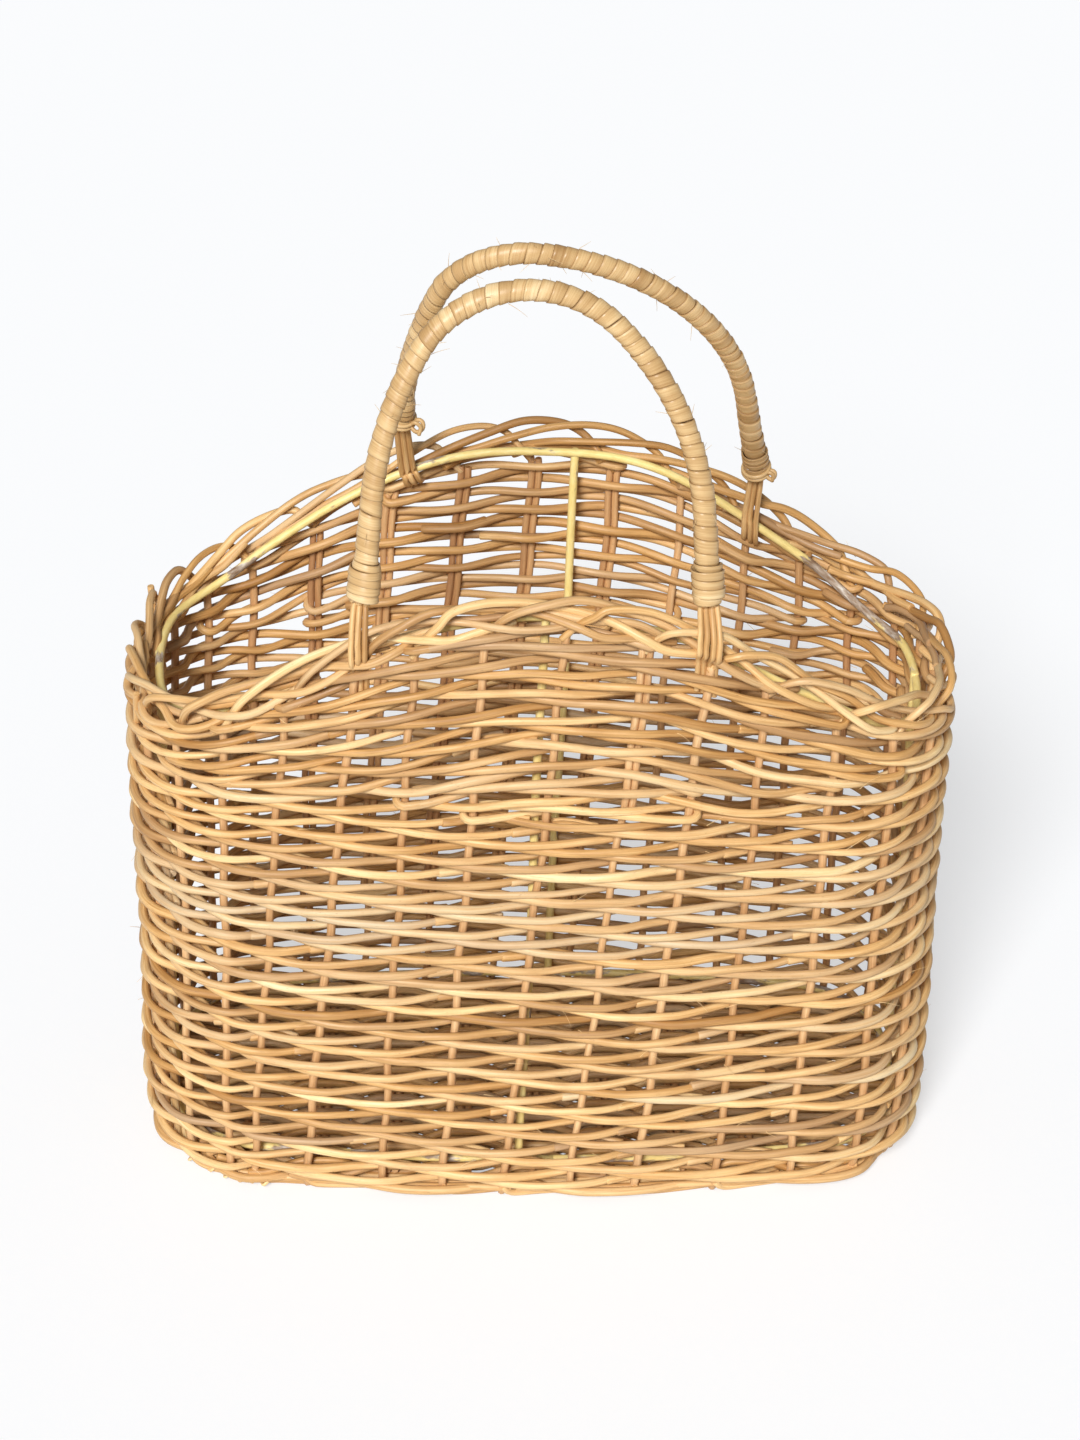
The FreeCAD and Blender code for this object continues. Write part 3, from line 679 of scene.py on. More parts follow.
def full_row(canes, index):
    """One row right round the wall, as two or three canes with tucked, overlapping ends."""
    rng = np.random.default_rng(1000 + index)
    row = STACK.rows[index]
    hidden = [u for u in range(COUNT) if (u + row["phase"]) % 3 == 0]
    cuts = sorted(rng.choice(hidden, size=int(rng.choice([2, 2, 3])), replace=False))
    for number, start in enumerate(cuts):
        stop = cuts[(number + 1) % len(cuts)]
        if stop <= start:
            stop += COUNT
        first, last = start - 0.28 - 0.2 * rng.random(), stop + 0.35 + 0.45 * rng.random()
        u = np.linspace(first, last, int((last - first) * SAMPLES) + 2)
        s, out, z = row_path(index, u, rng)
        tail = smooth((u - (stop - 0.55)) / 0.6)
        out = out - 2.9 * tail
        z = z + rng.choice([-1, 1]) * 0.5 * tail
        grey = grey_at(float(z.mean()), rng)
        tone = draw(rng, 0.53, 0.2, 0.05, 0.98)
        thick = cane_radius(rng, len(u)) * (1 + 0.11 * backness(s) * smooth((z - 90) / 60))
        # painted shade: rows on the back wall, seen from inside, get a darker tone; all rows also get a
        # little darker towards the top of the wall
        tone_with_painted_shade = tone - 0.24 * backness(s) - 0.1 * smooth((z - 215) / 40)
        canes.add(PLAN.place(s, out, z), thick, (0, 0, 1), tone_with_painted_shade, grey)


def round_stake(start, stop, way):
    """A cane's turn round a stake between two points, each given as s, out and height."""
    turn = np.linspace(0, 1, 7)[1:-1]
    reach = (STAKE_RADIUS + STRAND_RADIUS) * 1.05
    s = (start[0] + stop[0]) / 2 + way * reach * np.sin(turn * math.pi)
    out = (start[1] + stop[1]) / 2 + np.cos(turn * math.pi) * (start[1] - stop[1]) / 2
    return PLAN.place(s, out, start[2] + (stop[2] - start[2]) * smooth(turn))


def turned_pair(canes, index, side):
    """A pair of short rows on one side: one cane that goes along, round a stake and back."""
    rng = np.random.default_rng(3000 + index * 2 + (side == "back"))
    left, right = STACK.rows[index]["ends"][side]
    if right - left < 2:
        return
    u = np.linspace(left, right, int((right - left) * SAMPLES) + 1)
    low = np.array(row_path(index, u, rng))
    high = np.array(row_path(index + 1, u[::-1], rng))
    path = np.concatenate([PLAN.place(*low), round_stake(low[:, -1], high[:, 0], 1), PLAN.place(*high)])
    # painted shade: the back wall's short rows get a darker tone than the front's
    tone = draw(rng, 0.38 if side == "front" else 0.24, 0.14, 0.0, 0.9)
    thick = 1.11 if side == "back" else 1.0
    canes.add(path, cane_radius(rng, len(path)) * thick, None, tone, draw(rng, 0.15, 0.2, 0, 0.8))
    # at the other end the upper run comes back to the stake it started at and is tucked behind it
    tuck = 3
    path = np.concatenate([PLAN.place(*high[:, -tuck:]), round_stake(high[:, -1], low[:, 0], -1),
                           PLAN.place(*low[:, :tuck])])
    canes.add(path, STRAND_RADIUS, None, tone, 0.1)


def build_wall():
    """The woven wall as named courses of three rows each, the way the three rods go round together."""
    pieces = []
    group = 0
    for first in range(0, len(STACK.rows), 3):
        canes = Canes()
        for index in range(first, min(first + 3, len(STACK.rows))):
            row = STACK.rows[index]
            if row["kind"] == "full":
                full_row(canes, index)
            elif row["step"] == 0:
                for side in ("front", "back"):
                    turned_pair(canes, index, side)
        if canes.total:
            group += 1
            pieces.append(canes.build(f"wale_course_{group:02d}", weave_finish))
    for piece in pieces:
        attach(piece, "basket")
        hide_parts("outer_weave", "inner_weave")


def stake_path(index, bottom, top, shift=0.0):
    """Points up a stake on the wall's middle surface, shifted along the wall."""
    z = np.linspace(bottom, top, 60)
    s = STAKES.s(index, z) + shift
    rng = np.random.default_rng(50 + index)
    sway = Ripple(int(rng.integers(1e9)), (130, 60), 400, 0.5)
    return PLAN.place(s + sway.at(z), wall_out(s, z) + 0.2 * sway.at(z + 90), z)


def build_stakes():
    """Upright canes, some of them doubled, from under the foot to the border."""
    for index in range(COUNT):
        rng = np.random.default_rng(200 + index)
        canes = Canes()
        x, y, _ = PLAN.at(STAKES.s(index, 290))
        top = float(rim_height(x)) - BORDER_DEPTH - 3.5
        # painted shade: stakes on the back wall are made darker
        tone = draw(rng, 0.45, 0.14, 0.1, 0.9) - (0.18 if y > 0 else 0.0)
        if index in STAKES.doubled:
            second_foot = 225 if index == 1 else 60
            canes.add(stake_path(index, 1.5, top, -1.75), STAKE_RADIUS * 1.02, ACROSS_STAKE, tone, 0.05)
            canes.add(stake_path(index, second_foot, top + 1, 1.85), STAKE_RADIUS * 0.98, ACROSS_STAKE,
                      tone - 0.1, 0.1)
        else:
            path = stake_path(index, 1.0 + 1.5 * rng.random(), top)
            canes.add(path, STAKE_RADIUS * rng.uniform(1.08, 1.2), ACROSS_STAKE, tone, 0.08)
        piece = canes.build(f"upright_{index + 1:02d}", stake_finish)
        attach(piece, "basket")
        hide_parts(f"stake_{index + 1:02d}")


build_wall()
build_stakes()


# --- rim border ---

# how a stake end runs once it is bent over: stake spacings along, height from the rim, distance outwards
BORDER_RUN = [(0.0, -21.0, 0.0), (0.17, -13.5, 0.4), (0.38, -6.0, 4.4), (0.7, -1.0, 4.4),
              (1.15, 0.4, 1.8), (1.65, -2.4, -0.8), (2.2, -6.3, -2.4), (2.68, -9.8, -0.6),
              (3.08, -12.6, 4.2), (3.4, -14.6, 5.3), (3.8, -14.6, 2.6), (4.15, -14.0, -5.0)]


def border_points(u, up, out):
    """Points by stake coordinate, height from the rim line and distance outwards."""
    s = STAKES.s(np.asarray(u, float), 300)
    z = rim_height(PLAN.at(s)[0]) + np.asarray(up)
    return PLAN.place(s, np.asarray(out) + wall_out(s, z), z)


BLUNT = 0.93  # how much of its thickness a cut end keeps


def build_border():
    """Every stake bends over, runs along the top, dips in front of the next ones and is tucked inside."""
    canes = Canes(10)
    for index in range(COUNT):
        rng = np.random.default_rng(700 + index)
        loose = 1.0 if index in (2, 3, 4, 5, 6) else 0.45
        run = np.array(BORDER_RUN)
        run[2:, 1] += rng.normal(0, 0.9 * loose, len(run) - 2)
        run[2:-2, 2] += rng.normal(0, 0.45 * loose, len(run) - 4)
        run[3:, 0] += rng.normal(0, 0.10)
        run[-1, 0] += rng.uniform(-0.15, 0.25)
        path = curve(border_points(index + run[:, 0], run[:, 1], run[:, 2]), 2.2)
        # painted shade: border canes that run along the back of the basket are made darker
        behind = float(PLAN.at(STAKES.s(index + 2, 290))[1]) > 0
        tone = draw(rng, 0.52, 0.16, 0.1, 0.98) - (0.25 if behind else 0.0)
        size = draw(rng, 2.0, 0.12, 1.8, 2.3)
        canes.add(path, size * np.linspace(0.97, 1.0, len(path)), None, tone,
                  draw(rng, 0.06, 0.12, 0, 0.6), 0.95, 0.93)
        if rng.random() < 0.55:
            # a spare end laid in beside it
            start = rng.uniform(0.9, 1.6)
            run = np.array([(start, -5.6, -2.6), (start + 0.5, -7.5, -3.4), (start + 1.1, -9.5, -2.0),
                            (start + 1.7, -11.0, -4.4), (start + 2.1, -13.5, -6.8)])
            run[:, 1:] += rng.normal(0, 0.7, (len(run), 2))
            path = curve(border_points(index + run[:, 0], run[:, 1], run[:, 2]), 2.5)
            canes.add(path, size * 0.93, None, tone - 0.15, draw(rng, 0.15, 0.15, 0, 0.6),
                      0.93, 0.93)
    # blunt stake ends left standing at the left end
    for x, back, top, lean in ((-187, True, -1, 1.5), (-189, False, -7, 5)):
        s = PLAN.s_at(x, back)
        rim = float(rim_height(x))
        t = np.linspace(0, 1, 8)
        path = PLAN.place(s + lean * t, 4.6 + 1.2 * t, rim - 26 + (26 + top) * t)
        canes.add(path, 1.75, None, 0.42, 0.1, BLUNT, BLUNT)
    piece = canes.build("plaited_rim", border_finish)
    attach(piece, "basket")
    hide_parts("rim_border")


# --- base ---

def build_foot():
    """The stake ends under the basket, bent along and tucked, as a low plaited ring on the floor."""
    canes = Canes()
    for index in range(COUNT):
        rng = np.random.default_rng(900 + index)
        run = np.array([(0.0, 7.5, -1.5), (0.12, 3.0, -3.2), (0.5, 2.3, -4.5), (1.1, 2.6, -7.0),
                        (1.7, 3.4, -10.5), (2.2, 4.6, -12.0)])
        run[1:, 1] += np.abs(rng.normal(0, 0.25, len(run) - 1))
        run[2:, 2] += rng.normal(0, 0.7, len(run) - 2)
        s = STAKES.s(index + run[:, 0], 3)
        path = curve(PLAN.place(s, run[:, 2], run[:, 1]), 2.5)
        canes.add(path, STAKE_RADIUS * rng.uniform(0.95, 1.05), None, float(rng.normal(0.4, 0.12)), 0.12,
                  0.9, 0.9)
    for row, (out, level) in enumerate(((-3.6, 5.4), (-7.8, 6.3), (-11.6, 5.9))):
        u = np.linspace(0.2, COUNT + 0.1, COUNT * 6)
        s = STAKES.s(u, 5)
        weave = np.sin(TAU * (u / 2 + row / 2.0))
        canes.add(PLAN.place(s, out + 0.5 * weave, level + 0.7 * weave), 1.9, (0, 0, 1),
                  0.45 + 0.05 * row, 0.1)
    # short split ends that have sprung out of the border at one corner
    rng = np.random.default_rng(951)
    for _ in range(13):
        s_end = STAKES.s(COUNT - 5.6 + rng.uniform(-1.6, 1.9), 3)
        reach, height = rng.uniform(2.5, 6.0), rng.uniform(2.0, 5.5)
        t = np.linspace(0, math.pi * rng.uniform(0.9, 1.25), 12)
        path = PLAN.place(s_end + rng.uniform(3, 8) * (t / math.pi - 0.5), -4.5 + reach * np.sin(t),
                          1.2 + height * (0.5 - 0.5 * np.cos(t)) * 0.9)
        canes.add(path, rng.uniform(0.55, 1.0), None, float(rng.uniform(0.5, 0.9)), 0.05)
    piece = canes.build("foot_plait", weave_finish)
    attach(piece, "basket")
    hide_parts("foot_border")


def base_half_width(y):
    """Half length of the base at a given depth."""
    quarter = (PLAN.x > 0) & (PLAN.y < 0)
    order = np.argsort(PLAN.y[quarter])
    return float(np.interp(-abs(y), PLAN.y[quarter][order], PLAN.x[quarter][order])) - FOOT_INSET


STICKS_ASIDE, STICK_PITCH = 4, 36.0
MAT_CANES, MAT_PITCH, MAT_SWING = 42, 4.15, 3.55


def build_base():
    """The woven bottom: pairs of sticks across it, and canes along it over and under them."""
    low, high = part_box("base_sticks")
    level = (low.z + high.z) / 2 / MM
    sticks = Canes()
    right = PLAN.x > 0
    for index in range(2 * STICKS_ASIDE + 1):
        x = (index - STICKS_ASIDE) * STICK_PITCH
        half = float(np.interp(abs(x), PLAN.x[right][:400], -PLAN.y[right][:400])) - FOOT_INSET
        for shift in (-2.0, 2.0):
            rng = np.random.default_rng(1200 + index * 2 + int(shift > 0))
            y = np.linspace(-half, half, 30)
            x_line = x + shift + 0.6 * np.sin(y / 37 + index)
            sticks.add(np.stack([x_line, y, np.full(30, level)], axis=-1), 1.85, (0, 0, 1),
                       float(rng.normal(0.42, 0.1)), 0.1)
    piece = sticks.build("base_stick_pairs", stake_finish)
    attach(piece, "basket")
    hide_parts("base_sticks")
    canes = Canes()
    for row in range(MAT_CANES):
        rng = np.random.default_rng(1300 + row)
        y = (row - (MAT_CANES - 1) / 2) * MAT_PITCH
        half = base_half_width(y)
        x = np.linspace(-half, half, 110)
        swing = np.cos(math.pi * (x / STICK_PITCH + row))
        z = level + MAT_SWING * np.clip(swing * 1.35, -1, 1)
        y_line = y + 0.5 * np.sin(x / 45 + row * 1.7)
        canes.add(np.stack([x, y_line, z], axis=-1), 2.06 * rng.uniform(0.97, 1.03), (0, 1, 0),
                  draw(rng, 0.26, 0.13, 0.0, 0.9), draw(rng, 0.15, 0.15, 0, 0.7))
    piece = canes.build("base_mat", weave_finish)
    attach(piece, "basket")
    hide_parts("base_weave_lower", "base_weave_upper")


# --- painted wire frame ---

def add_wire(name, path, wear, node):
    """One wire of the frame."""
    canes = Canes(12)
    canes.add(path, WIRE_RADIUS, None, 0.5, wear)
    piece = canes.build(name, wire_finish)
    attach(piece, "basket")
    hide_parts(node)


def hoop_drop(x, y):
    """How far the top hoop lies under the rim line: it sags towards the right end."""
    back = np.interp(x, (-195, -148, -104, -34, 3, 51, 82, 113, 150, 179, 195),
                     (12.5, 12, 7, 8, 9.5, 8.5, 9, 12, 18, 24, 23))
    front = np.interp(x, (-195, 150, 195), (12.5, 15, 23))
    share = smooth((np.asarray(y) + 60) / 120)
    return front + (back - front) * share


def build_wires():
    """Two hoops and four uprights of thin iron wire, painted pale yellow and worn."""
    s = np.linspace(0, PLAN.length, 330)
    wave = Ripple(41, (300, 150, 90), PLAN.length, 0.5)
    x, y, _ = PLAN.at(s)
    z = rim_height(x) - hoop_drop(x, y) + wave.at(s)
    kernel = np.hanning(15) / np.hanning(15).sum()
    z = np.convolve(np.concatenate([z[-8:-1], z, z[1:8]]), kernel, "valid")
    path = PLAN.place(s, -WIRE_INSET + 0.4 * wave.at(s + 70), z)
    # worn places along the back: where, how far they reach and how bare they are
    places = ((163, 24, 0.62), (-150, 13, 0.42), (-50, 7, 0.3))
    bare = sum(share * np.exp(-(((x - place) / reach) ** 2)) for place, reach, share in places)
    wear = 0.08 + np.where(y > -40, bare, 0)
    # the last few points lie over the first ones, so that the hoop has no gap
    add_wire("top_hoop", np.concatenate([path, path[1:4]]), np.concatenate([wear, wear[1:4]]),
             "wire_top_hoop")
    low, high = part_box("wire_base_hoop")
    level = (low.z + high.z) / 2 / MM
    path = PLAN.place(s, np.full(len(s), -WIRE_INSET), level)
    add_wire("base_hoop", np.concatenate([path, path[1:4]]), 0.32, "wire_base_hoop")
    half_length, half_depth = HALF_LENGTH - WIRE_INSET, HALF_DEPTH - WIRE_INSET
    for side, foot, head in (("front", (-8, -half_depth), (1, -half_depth)),
                             ("back", (9, half_depth), (19, half_depth)),
                             ("left", (-half_length, 0), (-half_length, 0)),
                             ("right", (half_length, 0), (half_length, 0))):
        top = float(rim_height(head[0]) - hoop_drop(head[0], head[1])) + 0.8
        share = np.linspace(0, 1, 60)
        x = foot[0] + (head[0] - foot[0]) * share + 0.5 * np.sin(share * 9 + foot[0])
        y = foot[1] + (head[1] - foot[1]) * share + 0.4 * np.sin(share * 7)
        path = np.stack([x, y, level + (top - level) * share], axis=-1)
        add_wire(f"wire_{side}", path, 0.08, f"wire_upright_{side}")


build_border()
build_foot()
build_base()
build_wires()


# --- handles ---

class Handle:
    """A handle's centre line in the row frame, measured from its left leg's foot to its right one's."""

    def __init__(self, name, pivot, turns, peak, widths, tilts, spring, top_radius, starts, flare=0.0,
                 rise=154.0):
        self.name = name
        self.starts = starts
        rotation = Matrix.Identity(3)
        for degrees, axis in turns:
            rotation = rotation @ Matrix.Rotation(math.radians(degrees), 3, axis)
        self.rotation = np.array(rotation)
        self.pivot = np.array(pivot, float)
        lift = rise - spring - top_radius
        points = []
        self.feet = {}
        # each side is a straight leg, tilted, and an arc that runs into the crown's own
        for sign, width, tilt in ((-1, widths[0], tilts[0]), (1, widths[1], tilts[1])):
            tilt = math.radians(tilt)
            radius = (width**2 + lift**2 - top_radius**2) / (2 * (width - top_radius))
            centre = (peak + sign * (width - radius), spring)
            turn = math.atan2(lift, sign * (peak - centre[0]))
            angles = np.linspace(tilt, turn, 60)
            arc = np.stack([centre[0] + sign * radius * np.cos(angles),
                            centre[1] + radius * np.sin(angles)], axis=-1)
            touch = arc[0]
            foot = np.array([touch[0] + sign * touch[1] * math.tan(tilt), 0.0])
            self.feet[sign] = foot[0]
            leg = foot + (touch - foot) * np.linspace(0, 1, 30, endpoint=False)[:, None]
            points.append(np.concatenate([leg, arc]))
            if sign == -1:
                start_turn = math.pi - turn
            else:
                stop_turn = turn
        angles = np.linspace(start_turn, stop_turn, 120)[1:-1]
        crown = np.stack([peak + top_radius * np.cos(angles),
                          rise - top_radius + top_radius * np.sin(angles)], axis=-1)
        flat = np.concatenate([points[0], crown, points[1][::-1]])
        flat[:, 0] += flare * smooth((75 - flat[:, 1]) / 75) * (flat[:, 0] > peak)
        steps = np.linalg.norm(np.diff(flat, axis=0), axis=1)
        self.run = np.concatenate([[0], np.cumsum(steps)])
        self.flat = flat
        self.length = float(self.run[-1])
        tangent = unit(np.gradient(flat, axis=0))
        self.normal = np.stack([-tangent[:, 1], tangent[:, 0]], axis=-1)

    def from_foot(self, sign, distance):
        """Place along the arch, a distance up from where the wrap starts at one foot."""
        start = self.starts[int(sign > 0)] + distance
        return start if sign < 0 else self.length - start

    def world(self, x, depth, z):
        local = np.stack(np.broadcast_arrays(np.asarray(x, float), depth, z), axis=-1)
        return self.pivot + local @ self.rotation.T

    def at(self, along, outward=0.0, depth=0.0):
        """Points at distances along the arch, moved outwards in its plane and along its axis of turn."""
        x, z = (np.interp(along, self.run, self.flat[:, i]) for i in (0, 1))
        nx, nz = (np.interp(along, self.run, self.normal[:, i]) for i in (0, 1))
        size = np.hypot(nx, nz)
        return self.world(x + outward * nx / size, depth, z + outward * nz / size)


FRONT = Handle("front_handle", (0, -91, 327), ((-12, "X"),), peak=-7.5, widths=(71.8, 80.8),
               tilts=(5.1, 3.9), spring=41, top_radius=57, starts=(10.0, 10.0))
BACK = Handle("back_handle", (21.5, 74.5, 324.5), ((5.8, "Y"), (25, "X")), peak=-36.5, widths=(56, 111.5),
              tilts=(-6.5, 8), spring=42, top_radius=47.5, starts=(25.0, 13.0), flare=6.5)


BARE_RADIUS = 1.48  # of a handle's canes where they leave the wrap


def wrap_radius(along, length, starts, swell):
    """Outer radius of the wrap: thicker at both ends, where the peel is wound over itself."""
    from_end = np.minimum(along - starts[0], length - starts[1] - along)
    collar = swell * smooth((from_end + 1) / 3.5) * smooth((19 - from_end) / 5)
    body = 4.55 + 0.55 * smooth((70 - from_end) / 60)
    return body + collar


def build_wrap(handle, pitch, swell, seed, node):
    """A flat strip of peel wound round the canes, each turn lying a little over the last."""
    rng = np.random.default_rng(seed)
    per_turn = 26
    start, stop = handle.starts[0], handle.length - handle.starts[1]
    pitches, total = [], 0.0
    while total < stop - start:
        value = pitch * draw(rng, 1.0, 0.13, 0.7, 1.35)
        if total < 18 or total > stop - start - 20:
            value *= 0.62
        pitches.append(value)
        total += value
    pitches = np.array(pitches)
    pitches *= (stop - start) / pitches.sum()
    turns = len(pitches)
    q = np.linspace(-0.1, turns + 0.1, int(turns * per_turn))

    def between_turns(values):
        return np.interp(q, np.arange(turns + 1), values)

    along = start + between_turns(np.concatenate([[0], np.cumsum(pitches)]))
    local_pitch = np.interp(q, np.arange(turns) + 0.5, pitches)
    skew = between_turns(rng.normal(0, 0.45, turns + 1))
    width = local_pitch * between_turns(rng.uniform(1.02, 1.30, turns + 1))
    lift = between_turns(rng.uniform(-0.12, 0.22, turns + 1))
    radius = wrap_radius(along, handle.length, handle.starts, swell) + lift
    thick = 0.7
    section = [(-0.5, 0.1), (-0.48, 0.85), (-0.3, 1.0), (0.1, 1.02), (0.38, 1.0), (0.49, 0.85), (0.5, 0.2),
               (0.44, 0.0), (0.0, 0.05)]
    turn = TAU * q
    flatten = 1 + 0.035 * np.cos(3 * turn)
    rings, grain, tint = [], [], []
    run = np.cumsum(np.full(len(q), TAU * 5.3 / per_turn))
    tones = between_turns(rng.normal(0.55, 0.16, turns + 1))
    for across, height in section:
        place = along + across * width + skew * np.sin(turn)
        place = np.clip(place, start - 0.8, stop + 0.8)
        reach = radius * flatten + thick * (height - 1.0 * across - 0.35)
        rings.append(handle.at(place, reach * np.cos(turn), reach * np.sin(turn)))
        grain.append(np.stack([run, across * width, np.full(len(q), height)], axis=-1))
        tint.append(np.stack([tones, np.full(len(q), abs(across) * 2), np.zeros(len(q))], axis=-1))
    points = np.stack(rings, axis=1)
    quads, caps = tube_faces(*points.shape[:2])
    piece = build_mesh(f"{handle.name}_peel", points.reshape(-1, 3), quads, caps,
                       np.stack(grain, axis=1).reshape(-1, 3), np.stack(tint, axis=1).reshape(-1, 3),
                       peel_finish)
    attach(piece, handle.name)
    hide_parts(node)


def build_core(handle, node):
    """The bundle of canes inside the wrap, seen only where the turns of peel leave a gap."""
    canes = Canes()
    along = np.linspace(handle.starts[0] - 2, handle.length - handle.starts[1] + 2, 150)
    ring = 2.08
    for number, degrees in enumerate((210, 330, 90)):
        turn = math.radians(degrees)
        canes.add(handle.at(along, ring * math.cos(turn), ring * math.sin(turn)), 1.75, None,
                  0.35 + 0.1 * number, 0.1)
    piece = canes.build(f"{handle.name}_bundle", handle_finish)
    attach(piece, handle.name)
    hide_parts(node)


def build_legs(handle, sign, canes_across, run, nodes, blend_low, blend_high, lean=0.0):
    """The bare canes from the end of the wrap down over the border and into the weave."""
    side = "left" if sign < 0 else "right"
    canes = Canes(10)
    rng = np.random.default_rng(1500 + (sign > 0) + 2 * (handle is BACK))
    inside_wrap, below_wrap = handle.from_foot(sign, 5), handle.from_foot(sign, -1.5)
    middle = handle.at(below_wrap)
    for across in canes_across:
        points = [handle.at(inside_wrap, 0.25 * across), handle.at(below_wrap, 0.8 * across * sign)]
        for step, (height, out, spread) in enumerate(run):
            x = middle[0] + across * spread + rng.normal(0, 0.15) + lean * (step + 1) / len(run)
            out_here = out + rng.normal(0, 0.2)
            points.append(PLAN.place(PLAN.s_at(x, handle is BACK), out_here, float(rim_height(x)) + height))
        canes.add(curve(points, 2.0), BARE_RADIUS * rng.uniform(0.95, 1.05), None,
                  float(rng.normal(0.4, 0.1)), 0.08)
    piece = canes.build(f"{handle.name}_canes_{side}", handle_finish)
    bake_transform(piece)
    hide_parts(*nodes)


def build_knot(sign):
    """The peel's end tied round the foot of the back handle's wrap: two turns and a small loop."""
    side = "left" if sign < 0 else "right"
    canes = Canes()
    along = BACK.from_foot(sign, 1.5)
    turn = np.linspace(0, 2.1 * TAU, 70)
    place = along - sign * (turn / TAU - 1) * 2.2
    canes.add(BACK.at(place, 6.5 * np.cos(turn), 6.5 * np.sin(turn)), 1.15, None, 0.55, 0.0)
    foot = BACK.at(along, 5.2 * sign, -3.0)
    loop = np.array([(0, 0, 0), (3.0, -0.6, 2.6), (5.4, -1.2, 1.4), (5.2, -1.4, -2.0), (2.2, -2.4, -3.2),
                     (-0.6, -1.2, -0.4), (1.6, -2.8, 2.0), (4.4, -3.0, -0.4), (3.4, -2.6, -4.6)])
    canes.add(curve(foot + loop * (1.0 if sign < 0 else 0.72), 1.2), 1.1, None, 0.5, 0.0)
    piece = canes.build(f"back_knot_{side}", peel_finish)
    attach(piece, "back_handle")
    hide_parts(f"back_handle_knot_{side}")


def build_handles():
    """Both handles: wraps, bundles, bare canes at the feet and the back one's knots."""
    build_wrap(FRONT, 6.2, 2.0, 61, "front_handle_wrap")
    build_wrap(BACK, 5.9, 0.8, 62, "back_handle_wrap")
    build_core(FRONT, "front_handle_canes")
    build_core(BACK, "back_handle_canes")
    outside = [(0.5, 7.3, 1.0), (-6, 8.4, 1.0), (-10.5, 7.8, 0.97), (-14.5, 3.0, 0.94), (-20, 0.3, 0.9),
               (-34, -0.5, 0.9)]
    inside = [(-6, -13.5, 1.0), (-12, -13.5, 1.0), (-18, -12.0, 1.0), (-23, -8.0, 1.0), (-26, -2.0, 1.0)]
    front_hinge = ((0, -0.09, 0.318), (0, -0.09, 0.338))
    build_legs(FRONT, -1, (-1.6, 1.6, -4.7), outside, ("front_handle_leg_left", "front_handle_tail_left"),
               *front_hinge)
    build_legs(FRONT, 1, (-4.5, -1.5, 1.5, 4.5), outside,
               ("front_handle_leg_right", "front_handle_tail_right"), *front_hinge)
    build_legs(BACK, -1, (-2.9, 0.0, 2.9), [(z * 0.72, out, spread) for z, out, spread in inside],
               ("back_handle_leg_left", "back_handle_tail_left"), (0, 0.075, 0.312), (0, 0.075, 0.342), 7.0)
    build_legs(BACK, 1, (-2.9, 0.0, 2.9), inside, ("back_handle_leg_right", "back_handle_tail_right"),
               (0, 0.075, 0.300), (0, 0.075, 0.325))
    for sign in (-1, 1):
        build_knot(sign)


build_handles()


# --- loose fibres ---

def build_fibres():
    """Fine hairs of cane that stand out from the wall, the border and the wraps."""
    wall = Canes(4)
    rng = np.random.default_rng(77)
    for _ in range(150):
        s = rng.uniform(0, PLAN.length)
        z = rng.uniform(8, 300)
        x = float(PLAN.at(s)[0])
        if z > rim_height(x) - 4:
            continue
        out = rng.choice([5.8, 5.8, 5.8, -5.5])
        length = rng.uniform(4, 13)
        slope = rng.uniform(-0.9, 0.9)
        lean = rng.uniform(0.1, 0.6) * np.sign(out)
        t = np.linspace(0, 1, 6)
        path = PLAN.place(s + length * t * math.cos(slope), out + lean * length * t * t * 0.8,
                          z + length * t * math.sin(slope) + rng.normal(0, 1.5) * t * t)
        wall.add(path, np.linspace(0.16, 0.06, 6), None, 0.8, 0.0)
    piece = wall.build("wall_fibres", weave_finish)
    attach(piece, "basket")
    for handle, amount in ((FRONT, 26), (BACK, 34)):
        hairs = Canes(4)
        for _ in range(amount):
            along = rng.uniform(18, handle.length - 18)
            turn = rng.uniform(0, TAU)
            t = np.linspace(0, 1, 6)
            length = rng.uniform(4, 14)
            reach = 5.2 + length * 0.5 * t
            path = handle.at(along + length * t * rng.uniform(-0.9, 0.9),
                             reach * math.cos(turn), reach * math.sin(turn))
            hairs.add(path, np.linspace(0.15, 0.06, 6), None, 0.8, 0.0)
        piece = hairs.build(f"{handle.name}_fibres", peel_finish)
        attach(piece, handle.name)


build_fibres()


# --- stage ---

LIGHT_FROM = (-0.24, -0.9, 0.66)


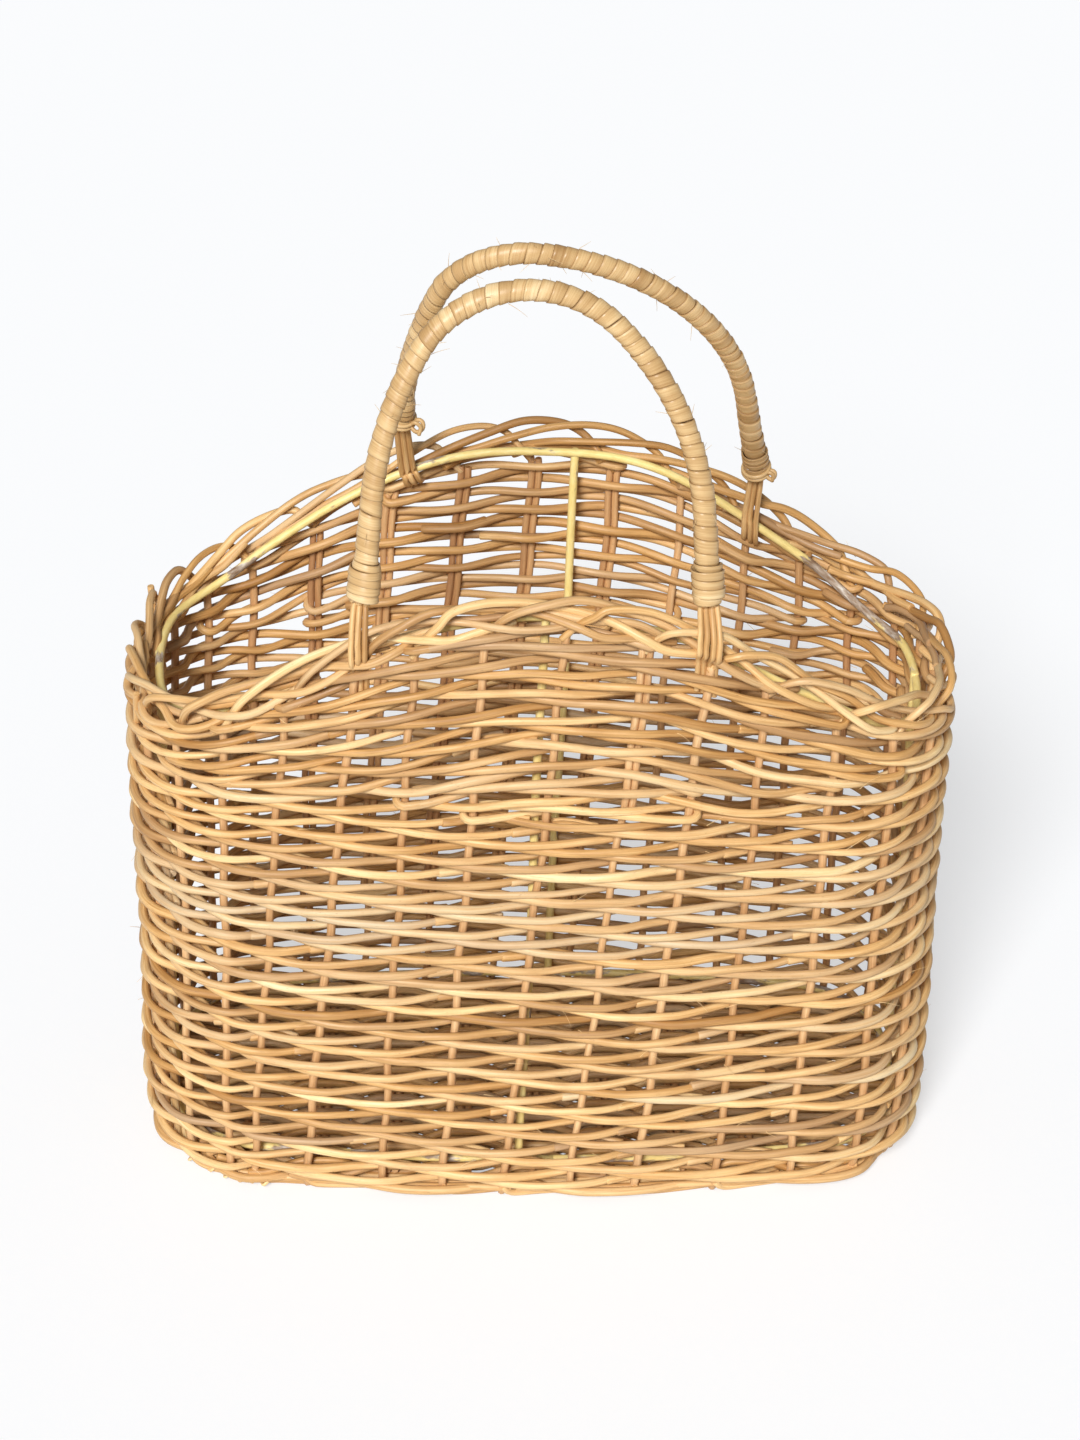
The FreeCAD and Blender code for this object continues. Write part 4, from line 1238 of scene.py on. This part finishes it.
def build_stage():
    """Pale floor, soft studio light and the camera."""
    size = 12.0
    floor = bpy.data.meshes.new("floor")
    corners = [(-size, -size, 0), (size, -size, 0), (size, size, 0), (-size, size, 0)]
    floor.from_pydata(corners, [], [(0, 1, 2, 3)])
    n = Nodes("floor")
    # the sweep of a studio backdrop is lit on its own: this brightens it for the camera only
    camera_ray = n.add("ShaderNodeLightPath").outputs["Is Camera Ray"]
    n.link(n.mix(camera_ray, (0.88, 0.89, 0.91), (0.46, 0.475, 0.50)), n.shader.inputs["Base Color"])
    n.shader.inputs["Emission Color"].default_value = (1, 1, 1, 1)
    n.link(n.math("MULTIPLY", camera_ray, 0.53), n.shader.inputs["Emission Strength"])
    n.shader.inputs["Roughness"].default_value = 0.9
    floor.materials.append(n.material)
    floor = add_object("floor", floor)

    world = bpy.data.worlds.new("studio")
    bpy.context.scene.world = world
    world.use_nodes = True
    background = world.node_tree.nodes["Background"]
    background.inputs["Color"].default_value = (0.98, 0.99, 1.0, 1)
    background.inputs["Strength"].default_value = 0.24

    light = bpy.data.lights.new("softbox", "SUN")
    light.energy = 3.75
    light.angle = math.radians(17)
    light.color = (1.0, 0.985, 0.96)
    lamp = add_object("softbox", light)
    lamp.rotation_mode = "QUATERNION"
    lamp.rotation_quaternion = Vector(LIGHT_FROM).to_track_quat("Z", "Y")

    azimuth, elevation, roll = math.radians(-1.235), math.radians(29.438), math.radians(0.84)
    target, distance = Vector((0.00108, 0, 0.22366)), 1.849
    back = Vector((math.sin(azimuth) * math.cos(elevation), -math.cos(azimuth) * math.cos(elevation),
                   math.sin(elevation)))
    right = Vector((math.cos(azimuth), math.sin(azimuth), 0))
    up = back.cross(right)
    turned_right = math.cos(roll) * right + math.sin(roll) * up
    turned_up = math.cos(roll) * up - math.sin(roll) * right
    data = bpy.data.cameras.new("camera")
    data.sensor_width = 36
    data.lens = 93.5
    data.clip_end = 50
    camera = add_object("camera", data)
    rotation = Matrix((turned_right, turned_up, back)).transposed()
    camera.matrix_world = Matrix.Translation(target + back * distance) @ rotation.to_4x4()
    bpy.context.scene.camera = camera
    bpy.context.scene.view_settings.view_transform = "Standard"


build_stage()
